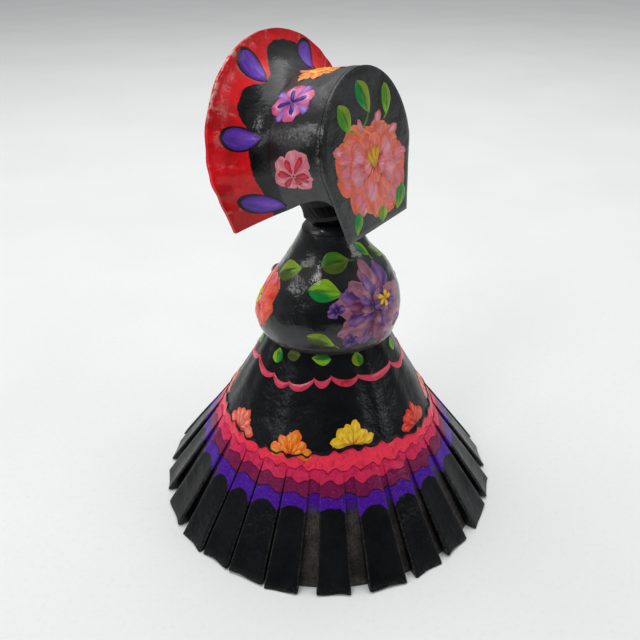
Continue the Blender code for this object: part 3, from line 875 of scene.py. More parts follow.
def band_of(deg, z):
    """Border count here: 0 under the violet, 1 violet, 2 plum, 3 crimson, 4 red, 5 the black over it."""
    deg = np.asarray(deg, float) + 0 * z
    violet = np.full(deg.shape, 40.0)
    for begin, width, gap in SPANS:
        share = np.abs(off_centre(deg, begin, width)) / (width / 2 + gap / 2)
        dome = np.clip(1 - share ** 2.2, 0, 1)
        lift = 37.4 + 7.8 * dome + 0.9 * np.sin(begin * 1.7)
        violet = np.where(share <= 1, lift, violet)
    turn = np.radians(deg)
    plum = painted_edge(turn, 51.6, 1.1, 30, 0.4, 0.6, 53)
    crimson = painted_edge(turn, 59.0, 1.3, 36, 1.0, 0.5, 61)
    red = painted_edge(turn, 65.2, 1.2, 42, 2.0, 0.5, 71)
    top = wave_line(deg) - 0.6
    marks = [violet, plum, crimson, red, top]
    count = np.where(z < violet, (z - violet) / 8.0, 0.0)
    for low, high in zip(marks, marks[1:]):
        count = count + np.clip((z - low) / (high - low), 0, 1)
    return count + np.where(z > top, (z - top) / 8.0, 0.0)


def wave_line(deg):
    """Height of the black wavy line over the border."""
    deg = np.asarray(deg, float)
    turn = np.radians(deg)
    place = deg % 360.0
    rise = np.exp(-((place - 108.0) / 29.0) ** 4) + 0.6 * np.exp(-((place - 262.0) / 30.0) ** 4)
    return painted_edge(turn, 70.8 + 5.6 * rise, 0.9, 40, 0.0, 0.4, 67)


def build_skirt():
    """The cone with its painted border. Bare board shows between the pleats and on the inside."""
    deg = np.linspace(0, 360, 360, endpoint=False)[None, :]
    levels = (np.linspace(0, 36, 18), np.linspace(37, 78, 42), np.linspace(80, SKIRT_TOP, 28))
    z = np.concatenate(levels)[:, None]
    outer = on_skirt(deg, z, 0.0)
    inner = on_skirt(deg, z, -SKIRT_WALL)
    inner[..., 2] = np.clip(inner[..., 2], 0.0, SKIRT_TOP)
    outer[..., 2] = np.clip(outer[..., 2], 0.0, SKIRT_TOP)
    gap = np.ones((len(z), deg.shape[1]))
    for begin, width, _ in SPANS:
        off = np.abs(off_centre(deg, begin, width))
        gap = np.minimum(gap, smooth(off, width / 2 - 1.2, width / 2 + 0.2))
    valley = gap * (1 - smooth(z, 40.0, 48.0))
    wear_and_sheen = smooth(-z, -6, 0) + 0 * deg
    inside = np.concatenate([np.zeros(valley.size), np.ones(valley.size)])
    bare = np.maximum(both(valley), inside)
    attributes = {"band": both(band_of(deg + 0 * z, z + 0 * deg)), "valley": bare, "wear_and_sheen": both(wear_and_sheen)}
    attributes["band"][valley.size:] = 6.0
    make_shell("skirt_painted", outer, inner, True, SKIRT_PAINT, attributes, "skirt_cone")


def pleat_profile(top, half_mm):
    """(u, lift) across a pleat: side walls, rounded folds and a slightly hollow face."""
    fold = min(1.3, 0.45 * (top - GAP))
    width = fold / half_mm
    points = [(-1.0, GAP), (-1.0, GAP + 0.5 * (top - fold - GAP))]
    for k in range(5):
        angle = math.pi / 2 * k / 4
        points.append((-1.0 + width * (1 - math.cos(angle)), top - fold + fold * math.sin(angle)))
    face = np.linspace(-1 + width, 1 - width, 9)[1:-1]
    crown = [(u, top - 0.14 * top * (1 - (u / (1 - width)) ** 2)) for u in face]
    return np.array(points + crown + [(-u, lift) for u, lift in reversed(points)])


def build_pleat(index, begin, width):
    """A folded strip that stands off the cone at the hem and comes down close to it at PLEAT_TOP."""
    middle = begin + width / 2
    foot = 0.9 + 0.5 * math.sin(2.4 * index)
    rows = 30
    outer = []
    inner = []
    angles = []
    levels = []
    for k in range(rows):
        share = k / (rows - 1)
        full = PLEAT_LIFT + 0.5 * math.sin(1.7 * index)
        top = PLEAT_TOP_LIFT + (full - PLEAT_TOP_LIFT) * (1 - share ** 1.25)
        half_mm = skirt_radius(PLEAT_TOP * share) * math.radians(width / 2)
        profile = pleat_profile(top, half_mm)
        u = profile[:, 0]
        sway = 0.18 * math.sin(3.0 * share + index) * (1 - share)
        deg = middle + width / 2 * u + sway
        slant = (0.9 * math.sin(3.3 * index) * u + 0.35 * np.sin(4 * u + index)) * (1 - share)
        z = foot + (PLEAT_TOP - foot) * share + slant
        z = np.maximum(z, 0.25)
        curl = 0.25 * math.sin(7 * share + index * 2.0) * np.cos(1.5 * u)
        lift = profile[:, 1] + curl * (1 - share) * (np.abs(u) < 0.95)
        outer.append(level_lift(deg, z, lift))
        thin = np.clip(GAP + (profile[:, 1] - GAP) * max(0.0, (top - 1.7 - GAP) / (top - GAP)), 0.05, None)
        pulled = u * (1 - 1.6 / half_mm * (np.abs(u) > 0.5))
        inner.append(level_lift(middle + width / 2 * pulled + sway, z, thin))
        angles.append(deg)
        levels.append(z)
    angles = np.array(angles)
    levels = np.array(levels)
    u = np.broadcast_to(pleat_profile(6.0, 12.0)[:, 0], angles.shape)
    share = np.linspace(0, 1, rows)[:, None]
    # Pale marks along the rolled folds and at the hem: partly rubbed paint, partly a painted highlight where
    # the folds catch the light.
    folds = smooth(np.abs(u), 0.9, 0.97) * (np.abs(u) < 0.999)
    wear_and_sheen = 0.8 * folds + 0.9 * (1 - smooth(share, 0.0, 0.05))
    attributes = {"band": both(band_of(angles, levels)), "wear_and_sheen": both(np.clip(wear_and_sheen, 0, 1))}
    name = f"pleat_{index + 1:02d}"
    outer = np.array(outer)
    inner = np.array(inner)
    make_shell(name + "_painted", outer, inner, False, PLEAT_PAINT, attributes, name)


def level_lift(deg, z, lift):
    """A point at this height, moved out level so that it clears the skirt by lift."""
    angle = np.radians(deg)
    out = lift * math.hypot(1.0, SKIRT_SLOPE) / SKIRT_SLOPE
    return push_out(skirt_surface(deg, z), angle, out)


build_skirt()
for number, (first_deg, span_deg, _) in enumerate(SPANS):
    build_pleat(number, first_deg, span_deg)


# ---------------------------------------------------------------- bodice, neck, arms
def build_bodice():
    """Hollow bust whose wall thickens towards the shoulders."""
    deg = np.linspace(0, 360, 200, endpoint=False)[None, :]
    z = np.linspace(BODICE_FOOT, BODICE_TOP, 84)[:, None]
    outer = on_bodice(deg, z, 0.0)
    outer[..., 2] = np.clip(outer[..., 2], BODICE_FOOT - 0.05, BODICE_TOP)
    wall = 3.0 + 7.0 * np.clip((z - 181.0) / 25.0, 0, 1)
    angle = np.radians(deg)
    reach = curve_through(z, BODICE_Z, BODICE_R) - wall
    inner = ring_at(curve_through(z, BODICE_Z, BODICE_X), reach, BODICE_DEPTH, angle, z)
    make_shell("bodice_varnished", outer, inner, True, VARNISH, None, "bodice")


NECK_BORE_R = 4.4


def build_neck():
    """Flared neck, bored for the wooden post."""
    deg = np.linspace(0, 360, 96, endpoint=False)[None, :]
    levels = (206.3, 208.6, 210.6, 212.0, 216.0)
    z = np.linspace(levels[0], levels[-1], 20)[:, None]
    angle = np.radians(deg)
    radius = np.interp(z, levels, (19.0, 17.6, 15.6, 12.4, 10.2))
    outer = ring_at(BODICE_X[-1], radius, BODICE_DEPTH, angle, z)
    outer = push_out(outer, angle, 0.35 * lumps(outer, 8.0, 31))
    bore = ring_at(0.0, NECK_BORE_R + 0 * z, 1.0, angle, z)
    make_shell("neck_varnished", outer, bore, True, VARNISH, None, "neck")


def tube(path, radii, sides, squash=1.0, folds=0.0):
    """(vertices, faces) of a closed round solid along a path."""
    path = np.array(path, float)
    radii = np.array(radii, float)
    run = np.gradient(path, axis=0)
    run /= np.linalg.norm(run, axis=1, keepdims=True)
    across = np.cross(run, [0, 0, 1.0])
    across /= np.linalg.norm(across, axis=1, keepdims=True)
    rise = np.cross(across, run)
    angle = np.linspace(0, 2 * math.pi, sides, endpoint=False)[None, :, None]
    ripple = 1 + folds * np.sin(np.arange(len(path)) * 1.9)[:, None, None] * (0.5 + 0.5 * np.cos(angle * 2))
    ring = radii[:, None, None] * ripple
    at = path[:, None] + ring * (np.cos(angle) * across[:, None] * squash + np.sin(angle) * rise[:, None])
    count = len(path) * sides
    faces = grid_faces(len(path), sides, True, 0)
    caps = []
    for row, hub in ((0, count), (len(path) - 1, count + 1)):
        one = np.arange(sides) + row * sides
        caps.append(np.stack([one, np.roll(one, -1), np.full(sides, hub)], -1))
    ends = (path[:1] - run[:1] * radii[0] * 0.4, path[-1:] + run[-1:] * radii[-1] * 0.4)
    points = np.concatenate([at.reshape(-1, 3), *ends])
    return points, faces.tolist() + np.concatenate(caps).tolist()


def joined(parts):
    """(vertices, faces) of several solids together."""
    points = []
    faces = []
    first = 0
    for at, polygons in parts:
        points.append(at)
        faces += [[int(v) + first for v in polygon] for polygon in polygons]
        first += len(at)
    return np.concatenate(points), faces


def make_solid(name, parts, mat, node):
    points, faces = joined(parts)
    return make_object(name, points, faces, mat, None, node, 60.0)


def front(deg, z, lift, side):
    """A point over the front of the bodice, on the side given by its sign."""
    radius = float(np.interp(z, BODICE_Z, BODICE_R)) + lift
    angle = math.radians(deg)
    return np.array([side * radius * math.cos(angle), BODICE_DEPTH * radius * math.sin(angle), z])


def build_arm(side):
    """A folded sleeve and a hand of bones laid on the front of the bodice."""
    word = "left" if side > 0 else "right"
    share = np.linspace(0, 1, 34)
    radius = np.interp(share, (0, 0.12, 0.5, 0.85, 1.0), (4.0, 7.0, 7.6, 7.8, 8.4))
    path = [front(-50.0 - 20.0 * s, 152.0 - 5.0 * s, r * 1.12 + 1.2, side) for s, r in zip(share, radius)]
    cuff = tube(path, radius, 40, 1.0, 0.05)
    make_solid(f"sleeve_{word}_folded", [cuff], VARNISH, f"sleeve_{word}")
    wrist = front(-71.2, 146.6, 9.0, side)
    knuckle = front(-79.0, 145.2, 9.2, side)
    share = np.linspace(0, 1, 12)[:, None]
    palm = np.interp(share[:, 0], (0, 0.5, 1), (3.2, 4.6, 4.2))
    parts = [tube(wrist + (knuckle - wrist) * share, palm, 24)]
    for number in range(4):
        up = 3.6 - 2.4 * number
        start = knuckle + np.array([side * 1.5, 0.2, up * 0.9])
        middle = knuckle + np.array([-side * 3.4, -0.9, up * 1.15])
        end = np.array([side * 1.9, knuckle[1] + 0.6, knuckle[2] + up * 1.2 - 0.6])
        s = np.linspace(0, 1, 22)[:, None]
        line = (1 - s) ** 2 * start + 2 * s * (1 - s) * middle + s ** 2 * end
        bones = 1.0 + 0.32 * np.cos(2 * math.pi * 3 * s[:, 0]) ** 2
        parts.append(tube(line, np.linspace(1.05, 0.75, 22) * bones, 16))
    make_solid(f"hand_{word}_bones", parts, BONE, f"hand_{word}")


build_bodice()
build_neck()
for arm_side in (-1, 1):
    build_arm(arm_side)


# ---------------------------------------------------------------- bonnet
def arch_sweep(count):
    return np.linspace(-FOOT_SWEEP, math.pi + FOOT_SWEEP, count)


def build_crown():
    """Top and sides of the bonnet, scuffed at the rear edge, with a painted glare on both shoulders."""
    theta = arch_sweep(150)[None, :]
    run = np.linspace(CROWN_START, CROWN_DEPTH, 40)[:, None]
    outer = on_hat(theta, run, 0.0)
    inner = on_hat(theta, run, -CROWN_WALL)
    rear = (1 - smooth(run, 3.0, 6.0)) + 0 * theta
    wear_and_sheen = 0.8 * rear * smooth(np.sin(7 * theta) + np.sin(3 * theta + 1), 0.1, 1.2)
    # Painted glare: a pale mottled band along each shoulder of the crown, where the varnish catches the
    # light; it rides in the same attribute as the rear edge's scuffing.
    for side in (0.44, math.pi - 0.44):
        painted_glare = np.exp(-((theta - side) / 0.1) ** 4) * smooth(run, 3, 9) * (1 - smooth(run, 30, 36))
        wear_and_sheen = np.maximum(wear_and_sheen, 0.55 * painted_glare)
    attributes = {"wear_and_sheen": both(wear_and_sheen)}
    name = "bonnet_crown"
    make_shell(name + "_varnished", outer, inner, False, HAT_VARNISH, attributes, name)


def lap_of_black(theta):
    """How far the crown's black runs on to the brim, as a share of the brim's turn."""
    lobes = 0.24 * np.exp(-((theta - 0.8) / 0.25) ** 4) + 0.48 * np.exp(-((theta - 1.78) / 0.42) ** 4)
    lobes = lobes + 0.24 * np.exp(-((theta - 2.62) / 0.25) ** 4)
    return 0.29 + 0.07 * smooth(theta, -0.4, 0.3) + lobes


def build_brim():
    """The flared red rim: black running over from the crown, a rubbed edge and pale radial creases."""
    theta = arch_sweep(220)[None, :]
    run = (CROWN_DEPTH + 0.02 + np.linspace(0, 1, 44) * (BRIM_RUN - 0.02))[:, None]
    outer = on_hat(theta, run, 0.0)
    inner = on_hat(theta, run, -BRIM_WALL)
    share = (run - CROWN_DEPTH) / BRIM_RUN
    black = (lap_of_black(theta) - share) * 12.0
    wear_and_sheen = smooth(share, 0.93, 1.0) * smooth(np.sin(3 * theta + 5.2), 0.0, 0.8) * 0.95 + 0 * theta
    inside = np.concatenate([(black + 0 * theta).ravel(), np.full(black.size, -4.0)])
    crease = np.zeros((len(run), theta.shape[1]))
    for number in range(9):
        line = -0.35 + 0.47 * number + 0.02 * np.sin(2.0 * number + 6.0 * share)
        reach = smooth(share, 0.3 + 0.25 * math.sin(3.1 * number), 0.75)
        crease = np.maximum(crease, 0.5 * reach * np.exp(-((theta - line) / 0.012) ** 2))
    crease = crease * smooth(-black, 0.4, 1.2)
    attributes = {"black": inside, "wear_and_sheen": both(wear_and_sheen), "crease": both(crease)}
    name = "bonnet_brim"
    make_shell(name + "_varnished", outer, inner, False, BRIM_PAINT, attributes, name)


def build_panel():
    """The flat arched back of the bonnet, its rim softly rounded."""
    theta = arch_sweep(120)
    x, z = arch(theta, *CROWN, 0.0)
    bottom = np.linspace(-x[0], x[0], 30)[1:-1]
    x = np.concatenate([x, bottom])
    z = np.concatenate([z, 0 * bottom])
    share = np.concatenate([np.linspace(0.02, 0.95, 30), [0.985, 1.0]])[:, None]
    middle_z = 46.0
    grid_x = x[None, :] * share
    grid_z = middle_z + (z[None, :] - middle_z) * share
    round_off = 0.5 * smooth(share, 0.96, 1.0) + 0 * grid_x
    outer = on_panel(grid_x, grid_z, -round_off)
    inner = on_panel(grid_x, grid_z, -CROWN_WALL)
    points, faces = closed_sheet(outer, inner, True)
    faces = [list(map(int, face)) for face in faces]
    columns = len(x)
    count = share.size * columns
    ring_first = {frozenset(face) for face in faces[-2 * columns:-columns]}
    faces = [face for face in faces if frozenset(face) not in ring_first]
    hub_out = len(points)
    hubs = [on_panel(0.0, middle_z, lift)[None] for lift in (0.0, -CROWN_WALL)]
    points = np.concatenate([points, *hubs])
    for i in range(columns):
        j = (i + 1) % columns
        faces.append([i, j, hub_out])
        faces.append([count + j, count + i, hub_out + 1])
    edge = smooth(share, 0.96, 0.99) + 0 * grid_x
    attributes = {"wear_and_sheen": np.concatenate([both(edge * 0.2), [0.0, 0.0]])}
    name = "bonnet_back"
    node = name + "_panel"
    make_object(name + "_varnished", points, faces, HAT_VARNISH, attributes, node, 50.0)


build_crown()
build_brim()
build_panel()


# ---------------------------------------------------------------- head
def build_skull():
    """A stylised sugar skull, closed at the crown of the head and under the jaw."""
    side = np.linspace(0, 360, 220, endpoint=False)[None, :]
    side = (side + 180.0) % 360.0 - 180.0
    side = np.sort(side, axis=1)
    up = np.linspace(-84, 84, 150)[:, None]
    outer = skull_surface(side + 0 * up, up + 0 * side)
    rows, columns = outer.shape[:2]
    faces = grid_faces(rows, columns, True, 0).tolist()
    points = outer.reshape(-1, 3)
    hub = len(points)
    points = np.concatenate([points, [outer[0].mean(0)], [outer[-1].mean(0)]])
    for i in range(columns):
        j = (i + 1) % columns
        faces.append([i, j, hub])
        faces.append([(rows - 1) * columns + i, (rows - 1) * columns + j, hub + 1])
    make_solid("skull_painted", [(points, faces)], BONE, "skull")


def build_hair():
    """Combed locks round the back and sides of the head, drawn in at the bottom round the neck."""
    locks_up = (70, 54, 38, 20, 2, -16, -32, -46, -58)
    locks = (2.0, 3.0, 3.8, 4.4, 5.0, 6.2, 7.8, 9.8, 11.6)
    columns = 150
    share = np.linspace(0, 1, columns)
    side = 68.0 + 224.0 * share
    angle = np.radians(side)
    out = np.stack([np.sin(angle), -np.cos(angle), 0 * angle], -1)
    taper = 1 - (2 * share - 1) ** 6 * 0.8 - 0.3 * np.maximum(0, out[:, 1]) ** 2
    outer = []
    inner = []
    for up in np.linspace(70, -58, 54):
        thick = float(np.interp(-up, [-v for v in locks_up], locks))
        at, _ = head_shell(side, up)
        calm = 0.25 + 0.75 * float(smooth(up, -45, -10))
        waves = 0.35 * np.sin(share * 150 + 1.5 * np.sin(up / 9.0)) + 0.25 * np.sin(share * 61 + up / 14.0)
        strand = calm * waves * min(1, thick / 4) * taper
        inner.append(at + out * 0.7)
        outer.append(at + out * (1.7 + (thick - 1.0) * taper + strand)[:, None])
    for z, near, far in ((12.5, 13.2, 20.0), (9.2, 13.4, 17.6)):
        hub = np.array([6.5, -33.0, z])
        inner.append(hub + out * near)
        outer.append(hub + out * (far + 0.1 * np.sin(share * 150))[:, None])
    outer = bonnet_to_world(np.array(outer))
    inner = bonnet_to_world(np.array(inner))
    make_shell("hair_combed", outer, inner, False, HAIR, None, "hair")


build_skull()
build_hair()
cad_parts["base_disc"].data.materials.clear()
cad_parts["base_disc"].data.materials.append(BOARD)
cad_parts["armature_post"].data.materials.clear()
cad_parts["armature_post"].data.materials.append(WOOD)


# ---------------------------------------------------------------- painted skirt motifs
def half_flower(relief, lay, tones, seed):
    """Open bloom standing on the wavy line, in tones of (body, edge, light)."""
    body, edge, light = tones
    width = 14.0
    height = 13.5
    low = Layer(0.45, 0.25, 0.05)
    high = Layer(0.75, 0.2, 0.25)
    outer = ((5, 1.06), (38, 0.84), (72, 1.02), (108, 0.86), (140, 0.92), (175, 1.08))
    for k, (angle, reach) in enumerate(outer):
        x, y = toward(angle + 5 * math.sin(seed * 3 + k * 2.1), width * reach, height * reach)
        tip = (x, y + 1.0)
        root = (0.15 * tip[0], 0.1 * tip[1] - 0.5)
        half = (0.27 + 0.05 * math.sin(seed + 2.2 * k)) * width
        bend = 0.06 * math.sin(k * 2.3 + seed)
        colours = (edge, body, body, light)
        stroke(relief, lay, root, tip, half, "fan", colours, low, seed + k, bend, 0.05, (18, 11))
    for k, angle in enumerate((24, 66, 104, 150)):
        tip = toward(angle + 4 * math.sin(seed * 5 + k), 0.62 * width, 0.62 * height)
        root = (0.1 * tip[0], -0.5)
        bend = 0.06 * math.sin(k + seed)
        colours = (edge, light, edge, body)
        stroke(relief, lay, root, tip, 0.14 * width, "drop", colours, high, seed + 9 + k, bend, 0.06, (14, 9))


def build_skirt_motifs():
    relief = Relief()
    coral = (CORAL, RED, SALMON)
    orange = (ORANGE, rgb(0.93, 0.32, 0.05), rgb(0.99, 0.66, 0.2))
    yellow = (rgb(0.96, 0.74, 0.08), rgb(0.88, 0.56, 0.05), rgb(0.99, 0.88, 0.3))
    red = (RED, CRIMSON, CORAL)
    blooms = (
        (-9.0, coral), (33.5, coral), (70.0, orange), (103.5, yellow), (146.5, red),
        (183.0, coral), (214.0, orange), (249.0, yellow), (284.0, red), (317.0, orange),
    )
    for k, (deg, tones) in enumerate(blooms):
        half_flower(relief, skirt_spot(deg, float(wave_line(deg)) + 2.2), tones, 1.7 * k)
    turns = np.linspace(0, 360, 1200)
    ribbon(relief, on_skirt, turns, wave_line(turns) + 0.2, 0.75, (BLACK, BLACK, 1.5 * BLACK), 0.9, 3.0)
    # The red garland hangs between these points, in degrees round and height.
    cusps = (
        (20, 114.5), (45, 111), (60, 109.8), (79, 114), (92, 116), (113, 115), (147, 115), (166, 110.5),
        (192, 113), (214, 111), (236, 114), (260, 112), (283, 114), (304, 111.5), (328, 114), (352, 112),
        (380, 114.5),
    )
    tones = (rgb(0.87, 0.2, 0.32), rgb(0.9, 0.27, 0.4), rgb(0.76, 0.1, 0.16))
    for number, ((begin, low), (end, high)) in enumerate(zip(cusps, cusps[1:])):
        share = np.linspace(-0.02, 1.02, 40)
        hang = np.clip(np.sin(math.pi * share), 0, 1) ** 0.7
        line = low + (high - low) * share - 3.6 * hang
        turns = begin + (end - begin) * share
        ribbon(relief, on_skirt, turns, line, 1.0 + 1.05 * hang, tones, 0.4, number * 1.3)
    green = (EMERALD, LIME, DARK_LEAF, LIME)
    dull = (DULL_OLIVE, DULL_OLIVE * 1.4, DARK_LEAF, OLIVE * 0.6)
    grass = (GREEN * 0.7, OLIVE, DARK_LEAF, LIME)
    # Degrees round, height, half length, half width, turn, tones.
    leaves = (
        (42.3, 122.6, 5.6, 4.4, 100, green),
        (58.3, 126.0, 5.2, 4.4, 20, dull),
        (83.7, 126.6, 6.4, 4.2, 182, green),
        (116.0, 124.8, 5.4, 4.4, 92, grass),
        (163.0, 122.6, 5.0, 3.6, 75, green),
        (203.0, 124.0, 5.4, 4.2, 100, green),
        (232.0, 125.0, 5.8, 4.2, 15, dull),
        (262.0, 126.0, 5.5, 4.2, 170, grass),
        (296.0, 124.0, 5.5, 4.4, 80, green),
        (330.0, 124.0, 5.5, 4.2, 20, grass),
        (2.0, 122.0, 5.5, 4.2, 110, green),
    )
    for k, (deg, level, reach, half, turn, tones) in enumerate(leaves):
        leaf(relief, skirt_spot(deg, level, turn), (-reach, 0), (reach, 0), half, tones, k * 1.1, 0.03)
    relief.build("skirt_flowers", FLOWER_PAINT)


build_skirt_motifs()


# ---------------------------------------------------------------- painted bodice motifs
def ring_of_petals(relief, lay, count, reach, half, tones, seed, shape="fan", inner=0.2, height=0.4,
                   base=0.05, ruffle=0.08, squash=1.0):
    """Petals round a middle. They start at inner as a share of reach, and take the tones in turn."""
    for k in range(count):
        far = reach * (1 + 0.1 * math.sin(seed + 2.7 * k))
        tip = toward(360.0 * k / count + 9 * math.sin(seed * 2.3 + 4.1 * k), far, squash * far)
        start = (inner * tip[0], inner * tip[1])
        bend = 0.03 * math.sin(k * 3 + seed)
        layer = Layer(height, 0.25, base)
        tone = tones[k % len(tones)]
        stroke(relief, lay, start, tip, half, shape, tone, layer, seed + k * 1.3, bend, ruffle, (16, 9))


def build_bodice_motifs():
    relief = Relief()
    mauve = (PLUM * 0.8, MAUVE * 0.75, DUSK_PINK * 0.8, DUSK_PINK)
    lilac = (DEEP_VIOLET * 0.6, rgb(0.3, 0.16, 0.42), rgb(0.5, 0.33, 0.6), rgb(0.58, 0.42, 0.66))
    plum = (PLUM * 0.6, PLUM, MAUVE * 0.8, MAUVE)
    gold = (OCHRE, YELLOW, OCHRE, YELLOW)
    knobs = ((-27, 2, lilac), (-16, -18, lilac), (8, -24, plum), (22, -16, lilac))
    for centre, flip in ((128.0, 1), (230.0, -1)):
        lay = bodice_spot(centre, 163.0)
        heart = bodice_spot(centre + 10.0, 167.0)
        rims = (mauve, mauve, lilac, mauve)
        ring_of_petals(relief, lay, 14, 27.0, 7.6, rims, 2.0 + flip, ruffle=0.13, squash=0.98)
        rims = (lilac, mauve, plum)
        ring_of_petals(relief, lay, 11, 19.5, 5.6, rims, 5.0 + flip, height=0.7, base=0.2, ruffle=0.13)
        rims = (mauve, lilac)
        ring_of_petals(relief, lay, 8, 12.0, 4.2, rims, 11.0 + flip, height=0.85, base=0.35, ruffle=0.13)
        rims = (lilac, mauve)
        ring_of_petals(relief, heart, 7, 9.0, 3.4, rims, 8.0, height=1.05, base=0.5, ruffle=0.1)
        ring_of_petals(relief, heart, 5, 6.0, 2.3, (gold,), 3.0, "drop", 0.0, 1.35, 0.8, 0.05)
        for k, (x, y, tones) in enumerate(knobs):
            knob = bodice_spot(centre + x / 0.75, 163.0 + y)
            ring_of_petals(relief, knob, 3, 5.5, 3.6, (tones,), 1.0 + k, "round", 0.0, 0.6, 0.1)
    coral = (CRIMSON, rgb(0.93, 0.26, 0.15), CORAL, rgb(0.96, 0.42, 0.25))
    red = (DEEP_RED, RED, CORAL, CORAL)
    rose = (CRIMSON, ROSE, PINK, PINK)
    gold = (OCHRE, YELLOW, LIME, YELLOW)
    for centre, outer_reach, inner_reach in ((2.0, 28.0, 19.0), (292.0, 20.0, 14.0)):
        lay = bodice_spot(centre, 156.0)
        rims = (coral, red, rose)
        ring_of_petals(relief, lay, 11, outer_reach, 9.5, rims, 4.0, ruffle=0.09, squash=0.74)
        rims = (red, coral)
        ring_of_petals(relief, lay, 8, inner_reach, 6.8, rims, 6.0, height=0.7, base=0.2, squash=0.9)
        ring_of_petals(relief, lay, 6, 10.0, 4.2, (rose, coral), 9.0, height=0.95, base=0.45)
        ring_of_petals(relief, lay, 6, 6.5, 2.2, (gold,), 2.0, "drop", 0.0, 1.3, 0.8, 0.05)
    green = (EMERALD, LIME, DARK_LEAF, LIME)
    olive = (DULL_OLIVE, OLIVE, DARK_LEAF, LIME)
    dull = (DULL_OLIVE * 1.3, GREEN * 0.7, DARK_LEAF, OLIVE * 0.7)
    # Degrees round, height, turn, half length, half width, tones.
    leaves = (
        (30.0, 181.0, 32, 11.5, 7.6, olive),
        (92.5, 190.5, 10, 9.0, 7.4, dull),
        (79.5, 175.0, -4, 10.5, 7.4, green),
        (139.0, 196.0, -55, 7.0, 3.2, green),
        (168.0, 190.0, -50, 7.5, 3.0, olive),
        (84.0, 144.5, -22, 9.5, 4.6, olive),
        (200.0, 186.0, 60, 9.0, 4.5, green),
        (262.0, 186.0, 10, 9.0, 5.0, olive),
        (330.0, 190.0, -30, 9.0, 4.5, green),
        (262.0, 136.0, 5, 9.0, 4.6, green),
        (180.0, 139.0, 20, 8.0, 4.2, olive),
        (345.0, 133.0, -10, 8.0, 4.2, green),
    )
    for k, (deg, z, turn, reach, half, tones) in enumerate(leaves):
        lay = bodice_spot(deg, z, turn)
        leaf(relief, lay, (-reach, 0), (reach, 0), half, tones, 2.0 + k, 0.05, 0.4)
        leaf(relief, lay, (reach * 0.9, 0), (reach * 1.45, -1.2), 0.6, tones, 3.0 + k, 0.05, 0.3)
    relief.build("bodice_flowers", FLOWER_PAINT)


build_bodice_motifs()


# ---------------------------------------------------------------- painted bonnet motifs
def build_peony(relief):
    """Layers of broad petals on the bonnet's back, round a tuft of ochre stamens."""
    lay = panel_spot(-1.8, 44.1)
    outer = (rgb(0.76, 0.2, 0.16), rgb(0.9, 0.44, 0.44), rgb(0.95, 0.42, 0.28), rgb(0.9, 0.5, 0.58))
    coral = (rgb(0.78, 0.2, 0.13), rgb(0.93, 0.4, 0.3), rgb(0.97, 0.52, 0.36), rgb(0.93, 0.5, 0.45))
    ring = (rgb(0.78, 0.22, 0.16), rgb(0.92, 0.5, 0.52), rgb(0.95, 0.4, 0.27), rgb(0.93, 0.62, 0.68))
    soft = (rgb(0.86, 0.3, 0.2), rgb(0.9, 0.5, 0.55), rgb(0.88, 0.45, 0.48), rgb(0.95, 0.68, 0.7))
    tips = (
        (12.6, 24.5, 3.2), (-38.5, 12.8, 3.4), (-11.0, 24.0, 2.6), (15.0, -31.0, 3.0),
        (30.5, 12.0, 3.0), (37.5, -7.0, 3.2), (-19.0, -32.0, 3.4),
    )
    thin = Layer(0.3, 0.25, 0.05)
    for k, (x, y, half) in enumerate(tips):
        start = (0.5 * x, 0.5 * y)
        stroke(relief, lay, start, (x, y), half * 1.4, "drop", soft, thin, k, 0.03, 0.04, (14, 7))
    rim = (
        (-38.0, -4.0, outer), (-26.0, -27.0, outer), (-5.0, -36.0, coral), (16.0, -36.0, outer),
        (29.0, -27.0, outer), (34.5, -11.0, outer), (28.0, 3.0, coral), (17.0, 16.0, coral),
        (-4.0, 18.0, coral), (-27.0, 15.0, coral), (-37.5, 7.0, outer),
    )
    middle = (
        (-28.0, -8.0, ring), (-13.0, -26.0, ring), (9.0, -28.0, coral), (23.0, -16.0, ring),
        (22.0, 2.0, ring), (7.0, 12.0, coral), (-13.0, 13.0, coral), (-24.0, 5.0, ring),
    )
    inner = ((-13.0, -4.0, ring), (-2.0, -16.0, coral), (11.0, -8.0, ring), (1.0, 8.0, coral))
    # Petals, where they start as a share of their reach, how far under that, half width, layer,
    # how much and how fast their bend varies, seed, detail.
    rings = (
        (rim, 0.25, 2, 12.0, Layer(0.4, 0.25, 0.05), 0.04, 2.0, 3.0, (22, 15)),
        (middle, 0.15, 3, 11.0, Layer(0.75, 0.2, 0.25), 0.05, 1.7, 23.0, (20, 15)),
        (inner, 0.1, 3, 6.0, Layer(1.05, 0.2, 0.5), 0.06, 2.7, 43.0, (18, 11)),
    )
    for petals, root, drop, half, layer, sway, beat, seed, detail in rings:
        for k, (x, y, tones) in enumerate(petals):
            start = (root * x, root * y - drop)
            bend = sway * math.sin(k * beat)
            stroke(relief, lay, start, (x, y), half, "fan", tones, layer, seed + k, bend, 0.05, detail)
    tuft = (OCHRE * 0.85, OCHRE, OCHRE * 0.85, YELLOW * 0.92)
    stamens = ((-6.5, 4.5, 3.2), (0.6, 6.4, 3.0), (6.0, 4.8, 3.2), (-2.5, 0.5, 3.4), (3.0, 1.0, 3.4))
    top = Layer(1.35, 0.1, 0.9)
    for k, (x, y, half) in enumerate(stamens):
        stroke(relief, lay, (-0.5, -7.0), (x, y), half, "drop", tuft, top, 61 + k, 0.05, 0.05, (12, 7))


